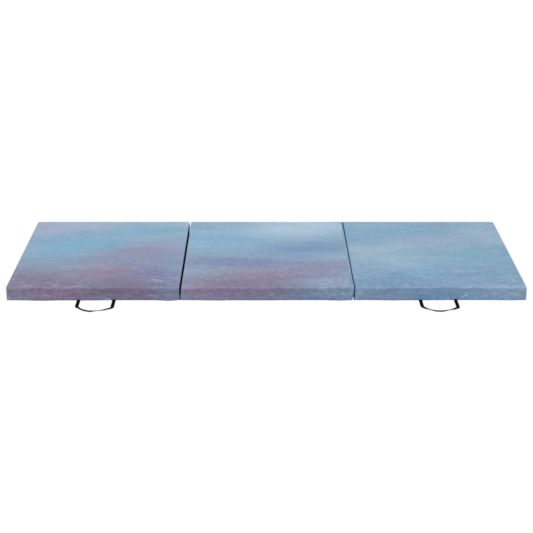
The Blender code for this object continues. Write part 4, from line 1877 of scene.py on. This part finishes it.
@dataclass
class Zip:
    """Zip in the back wall of one panel: tapes, coils, stops, slider, pull."""

    plan: PanelPlan
    coil_pitch: float = 0.0017
    coil_lean: float = 0.2
    wire: float = 0.00036
    wire_sides: int = 6
    head_points: range = range(2, 6)
    head_share: float = 1.15
    leg_share: float = 0.95
    tape_steps: int = 130
    tape_ripple: float = 0.00008
    ripple_rate: float = 900.0
    outer_edge: tuple[tuple[float, float], ...] = (
        (0.0, 0.25), (0.06, 0.0), (0.3, 0.0), (0.34, 0.15), (0.8, 0.18), (0.97, 0.1), (1.0, 0.3)
    )
    inner_edge: tuple[tuple[float, float], ...] = ((1.0, 0.3), (0.97, 0.1), (0.06, 0.0), (0.0, 0.25))
    stitch_lift: float = 0.0001
    stitch_gap: float = 0.0022
    stitch_run: float = 0.002
    stitch_half: float = 0.0075
    bevel: float = 0.00022
    bevel_angle: float = 35.0

    def build(self) -> None:
        """Make every piece of the zip."""
        for word, side in (("upper", 1), ("lower", -1)):
            self.tape(word, side)
            self.coil(word, side)
        self.slot_stitches()
        for part in ("stop_start", "stop_end", "slider", "pull"):
            self.dress_metal(f"zip_{self.plan.name}_{part}")

    def tape(self, word: str, side: int) -> None:
        """Make one woven tape, thicker along its inner cord.

        Args:
            word: upper or lower.
            side: 1 for the upper tape and -1 for the lower.
        """
        node = f"zip_{self.plan.name}_tape_{word}"
        low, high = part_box(node)
        near, far = (low.z, high.z) if side > 0 else (high.z, low.z)
        thick = high.y - low.y
        rings = []
        for step in range(self.tape_steps + 1):
            x = low.x + (high.x - low.x) * step / self.tape_steps
            ripple = self.tape_ripple * math.sin(x * self.ripple_rate)
            outline = []
            for share, thin in self.outer_edge:
                y = high.y - thin * thick + ripple * share
                outline.append(Vector((x, y, near + (far - near) * share)))
            for share, thin in self.inner_edge:
                outline.append(Vector((x, low.y + thin * thick, near + (far - near) * share)))
            rings.append(outline if side > 0 else outline[::-1])
        draft = Draft()
        draft.sweep(rings)
        piece = draft.piece(f"{node}_cloth", (TAPE_CLOTH,), 50.0)
        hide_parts(node)
        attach(piece, self.plan.body)
        report(piece)

    def coil(self, word: str, side: int) -> None:
        """Make one row of coil teeth, hooked into the other row at the middle.

        Args:
            word: upper or lower.
            side: 1 for the upper row and -1 for the lower.
        """
        node = f"zip_{self.plan.name}_teeth_{word}"
        low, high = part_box(node)
        middle, far = SIZES.zip_height, high.z if side > 0 else low.z
        shift = 0.25 if side > 0 else 0.75
        front, back = high.y - self.wire, low.y + self.wire
        draft = Draft()
        count = int((high.x - low.x) / self.coil_pitch)
        for number in range(count):
            x = low.x + (number + shift) * self.coil_pitch
            lean = self.coil_lean * self.coil_pitch
            path = (
                Vector((x + lean, front - 0.0004, far - side * 0.0002)),
                Vector((x + lean * 0.8, front, far - side * 0.0009)),
                Vector((x + lean * 0.3, front, middle + side * 0.0006)),
                Vector((x, front - 0.0002, middle - side * 0.0004)),
                Vector((x, (front + back) / 2, middle - side * 0.0006)),
                Vector((x - lean * 0.3, back, middle - side * 0.0002)),
                Vector((x - lean, back, far - side * 0.0004)),
            )
            draft.sweep(self.tube(path))
        piece = draft.piece(f"{node}_coil", (COIL,))
        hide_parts(node)
        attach(piece, self.plan.body)
        report(piece)

    def tube(self, path: Sequence[Vector]) -> list[list[Vector]]:
        """Return the rings of a round wire along a path, fatter at its head.

        Args:
            path: Points of the wire's middle line.

        Returns:
            One ring per point.
        """
        turns = [2 * math.pi * step / self.wire_sides for step in range(self.wire_sides)]
        rings = []
        for index, point in enumerate(path):
            along = (path[min(index + 1, len(path) - 1)] - path[max(index - 1, 0)]).normalized()
            side = along.cross(Vector((1.0, 0.0, 0.0))).normalized()
            other = along.cross(side).normalized()
            radius = self.wire * (self.head_share if index in self.head_points else self.leg_share)
            rings.append([
                point + (side * math.cos(turn) + other * math.sin(turn)) * radius for turn in turns
            ])
        return rings

    def slot_stitches(self) -> None:
        """Sew the cover to the tapes all round the slot."""
        start, end = self.plan.slot_span()
        y, middle, gap = SIZES.half_width + self.stitch_lift, SIZES.zip_height, self.stitch_gap
        rows = []
        for side in (1, -1):
            z = middle + side * (SIZES.slot_half + gap)
            rows.append([Vector((x, y, z)) for x in (start - self.stitch_run, end + self.stitch_run)])
        for x in (start - gap, end + gap):
            rows.append([Vector((x, y, middle + dz)) for dz in (-self.stitch_half, self.stitch_half)])
        draft = Draft()
        for row in rows:
            Stitching().sew(draft, *row, Vector((0.0, 1.0, 0.0)))
        piece = draft.piece(f"zip_stitching_{self.plan.name}", (THREAD,))
        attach(piece, self.plan.body)
        report(piece)

    def dress_metal(self, node: str) -> None:
        """Give a packed metal piece rounded edges and its finish.

        Args:
            node: Name of the piece.
        """
        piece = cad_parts[node]
        piece.data.materials.clear()
        piece.data.materials.append(METAL.material())
        rounding = piece.modifiers.new("rounding", "BEVEL")
        rounding.width, rounding.segments = self.bevel, 2
        rounding.limit_method, rounding.angle_limit = "ANGLE", math.radians(self.bevel_angle)
        report(piece)


FOCAL_PIXELS, PHOTO_WIDTH, SENSOR_WIDTH = 1068.104, 533.0, 36.0


@dataclass
class Studio:
    """Pale floor, soft lights and the camera."""

    lens: float = FOCAL_PIXELS * SENSOR_WIDTH / PHOTO_WIDTH
    sight: float = 200.0
    location: tuple[float, float, float] = (-0.0227, -3.67007, 1.68541)
    pitch: float = 0.43263
    yaw: float = 0.00642
    roll: float = 0.00244
    floor_reach: float = 60.0
    floor_shade: float = 0.68
    floor_opacity: float = 0.25
    floor_glow: float = 0.42
    floor_cloud: Cloud = Cloud((3.0, 3.0, 3.0), 3.0, 0.5, 31.0)
    floor_mottle: float = 0.01
    white_start: float = 1.3
    white_end: float = 4.5
    sky_strength: float = 0.46
    key_power: float = 138.0
    key_size: tuple[float, float] = (6.0, 4.5)
    key_place: tuple[float, float, float] = (0.0, -1.5, 3.2)
    key_tilt: float = 25.0

    def build(self) -> None:
        """Make the camera, lights, world and floor."""
        self.camera()
        self.key_light()
        self.world()
        self.floor()
        bpy.context.scene.view_settings.view_transform = "Standard"

    def camera(self) -> None:
        """Place the camera where the photograph was taken from."""
        forward = Vector((
            math.sin(self.yaw) * math.cos(self.pitch),
            math.cos(self.yaw) * math.cos(self.pitch),
            -math.sin(self.pitch),
        ))
        level = Vector((math.cos(self.yaw), -math.sin(self.yaw), 0.0))
        above = level.cross(forward)
        cos, sin = math.cos(self.roll), math.sin(self.roll)
        right, up = level * cos + above * sin, above * cos - level * sin
        data = bpy.data.cameras.new("camera")
        data.lens, data.sensor_width, data.clip_end = self.lens, SENSOR_WIDTH, self.sight
        camera = put_in_scene("camera", data)
        turn = Matrix((right, up, -forward)).transposed().to_4x4()
        camera.matrix_world = Matrix.Translation(self.location) @ turn
        bpy.context.scene.camera = camera

    def key_light(self) -> None:
        """Hang one large soft box above the mat, a little towards the front."""
        data = bpy.data.lights.new("soft_box", "AREA")
        data.shape, data.energy = "RECTANGLE", self.key_power
        data.size, data.size_y = self.key_size
        lamp = put_in_scene("soft_box", data)
        lamp.location = self.key_place
        lamp.rotation_euler = (math.radians(self.key_tilt), 0.0, 0.0)

    def seen(self, graph: Graph) -> Wire:
        """Return 1 for rays that show a background: camera, mirror and glass rays.

        Args:
            graph: The graph that asks.

        Returns:
            1 or 0.
        """
        path = graph.node("ShaderNodeLightPath").outputs
        rays = [Wire(graph, path[name]) for name in ("Is Camera Ray", "Is Glossy Ray", "Is Transmission Ray")]
        return rays[0].largest(rays[1]).largest(rays[2])

    def world(self) -> None:
        """Light the scene evenly and show white behind it."""
        world = bpy.data.worlds.new("surround")
        bpy.context.scene.world = world
        world.use_nodes = True
        graph = Graph(world.node_tree)
        strength = self.sky_strength + self.seen(graph) * (1.0 - self.sky_strength)
        inputs = {"Color": (1.0, 1.0, 1.0, 1.0), "Strength": strength}
        shader = graph.node("ShaderNodeBackground", inputs=inputs)
        graph.node("ShaderNodeOutputWorld", inputs={"Surface": shader.outputs[0]})

    def floor(self) -> None:
        """Lay a pale floor that keeps a faint shadow, hides nothing below it and is white far away."""
        material = bpy.data.materials.new("pale_floor")
        material.use_nodes = True
        graph = Graph(material.node_tree)
        seen = self.seen(graph)
        shadow = Wire(graph, graph.node("ShaderNodeLightPath").outputs["Is Shadow Ray"])
        below = Wire(graph, graph.node("ShaderNodeNewGeometry").outputs["Backfacing"])
        opacity = 1.0 - (seen * (1.0 - self.floor_opacity)).largest(shadow).largest(below)
        mottle = self.floor_mottle
        tone = graph.noise(self.floor_cloud) * mottle + (self.floor_shade - mottle / 2)
        cloth = graph.node("ShaderNodeBsdfDiffuse", inputs={"Color": graph.grey(tone)})
        x, y, _ = graph.parts(graph.place())
        far = ((x * x + y * y) ** 0.5).step(self.white_start, self.white_end)
        full_glow = 1.0 - self.sky_strength * self.floor_shade
        strength = seen * (self.floor_glow + far * (full_glow - self.floor_glow))
        glow = graph.node("ShaderNodeEmission", inputs={"Strength": strength})
        lit = graph.node("ShaderNodeAddShader", inputs={0: cloth.outputs[0], 1: glow.outputs[0]})
        clear = graph.node("ShaderNodeBsdfTransparent")
        inputs = {0: opacity, 1: clear.outputs[0], 2: lit.outputs[0]}
        shader = graph.node("ShaderNodeMixShader", inputs=inputs)
        graph.node("ShaderNodeOutputMaterial", inputs={"Surface": shader.outputs[0]})
        reach = self.floor_reach
        mesh = bpy.data.meshes.new("floor")
        corners = [(-reach, -reach, 0.0), (reach, -reach, 0.0), (reach, reach, 0.0), (-reach, reach, 0.0)]
        mesh.from_pydata(corners, [], [(0, 1, 2, 3)])
        mesh.materials.append(material)
        floor = put_in_scene("floor", mesh)


def fold_strips() -> list[FoldStrip]:
    """Return the hinge cloths of the two folds.

    Returns:
        The left one, low down, and the right one, up at the top.
    """
    base_low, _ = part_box("base_middle")
    middle_wall, right_wall = PANELS[1].high.head, PANELS[2].low.head
    shift = (right_wall - middle_wall) / 2
    run = (right_wall + middle_wall) / 2 + SIZES.top_radius
    seat = SIZES.edge + SIZES.clearance + SIZES.strip_skin
    steps = 10
    shares = [step / steps for step in range(steps + 1)]
    valley = [(run * share, seat - SIZES.valley * (1.0 - share) ** 2) for share in shares]
    valley += [(0.0070, seat - 0.0001), (SIZES.strip_half, seat - 0.0004)]
    return [
        FoldStrip(
            name="left", bodies=("panel_left", "panel_middle"), fold_x=-SIZES.pitch / 2, shift=0.0,
            half_width=0.0079, skin=0.0006, bend=0.0015, levels=((0.0, 0.00095), (0.0079, 0.00095)),
            half_length=abs(base_low.y), crease_shade_half=0.0,
        ),
        FoldStrip(
            name="right", bodies=("panel_middle", "panel_right"), fold_x=SIZES.pitch / 2, shift=shift,
            half_width=SIZES.strip_half, skin=0.0005, bend=0.0015, levels=tuple(valley),
            half_length=SIZES.half_width - SIZES.top_radius, crease_shade_half=0.0022, print_name="right",
        ),
    ]


def hand_loops() -> list[HandLoop]:
    """Return the two webbing loops, each with its own twist.

    Returns:
        The loops; a twist's pairs are place across and lean in degrees.
    """
    left = (
        (-0.062, 0.0), (-0.050, 20.0), (-0.030, 10.0), (-0.010, 6.0),
        (0.014, 22.0), (0.040, 11.0), (0.062, 0.0),
    )
    right = (
        (-0.062, 0.0), (-0.036, 19.0), (-0.018, 8.0), (-0.002, 6.0),
        (0.028, 23.0), (0.046, 10.0), (0.062, 0.0),
    )
    return [HandLoop("left", -0.5993, left), HandLoop("right", 0.6037, right)]


def main() -> None:
    """Build the studio and every sub-assembly of the mat, in order."""
    logging.basicConfig(level=logging.INFO, format="%(name)s %(message)s")
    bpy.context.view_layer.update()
    Studio().build()
    for plan in PANELS:
        PanelCover(plan).build()
        FoamBlock(plan).build()
        BaseCloth(plan).build()
        Zip(plan).build()
    for strip in fold_strips():
        strip.build()
    for loop in hand_loops():
        loop.build()


if __name__ == "__main__":
    main()
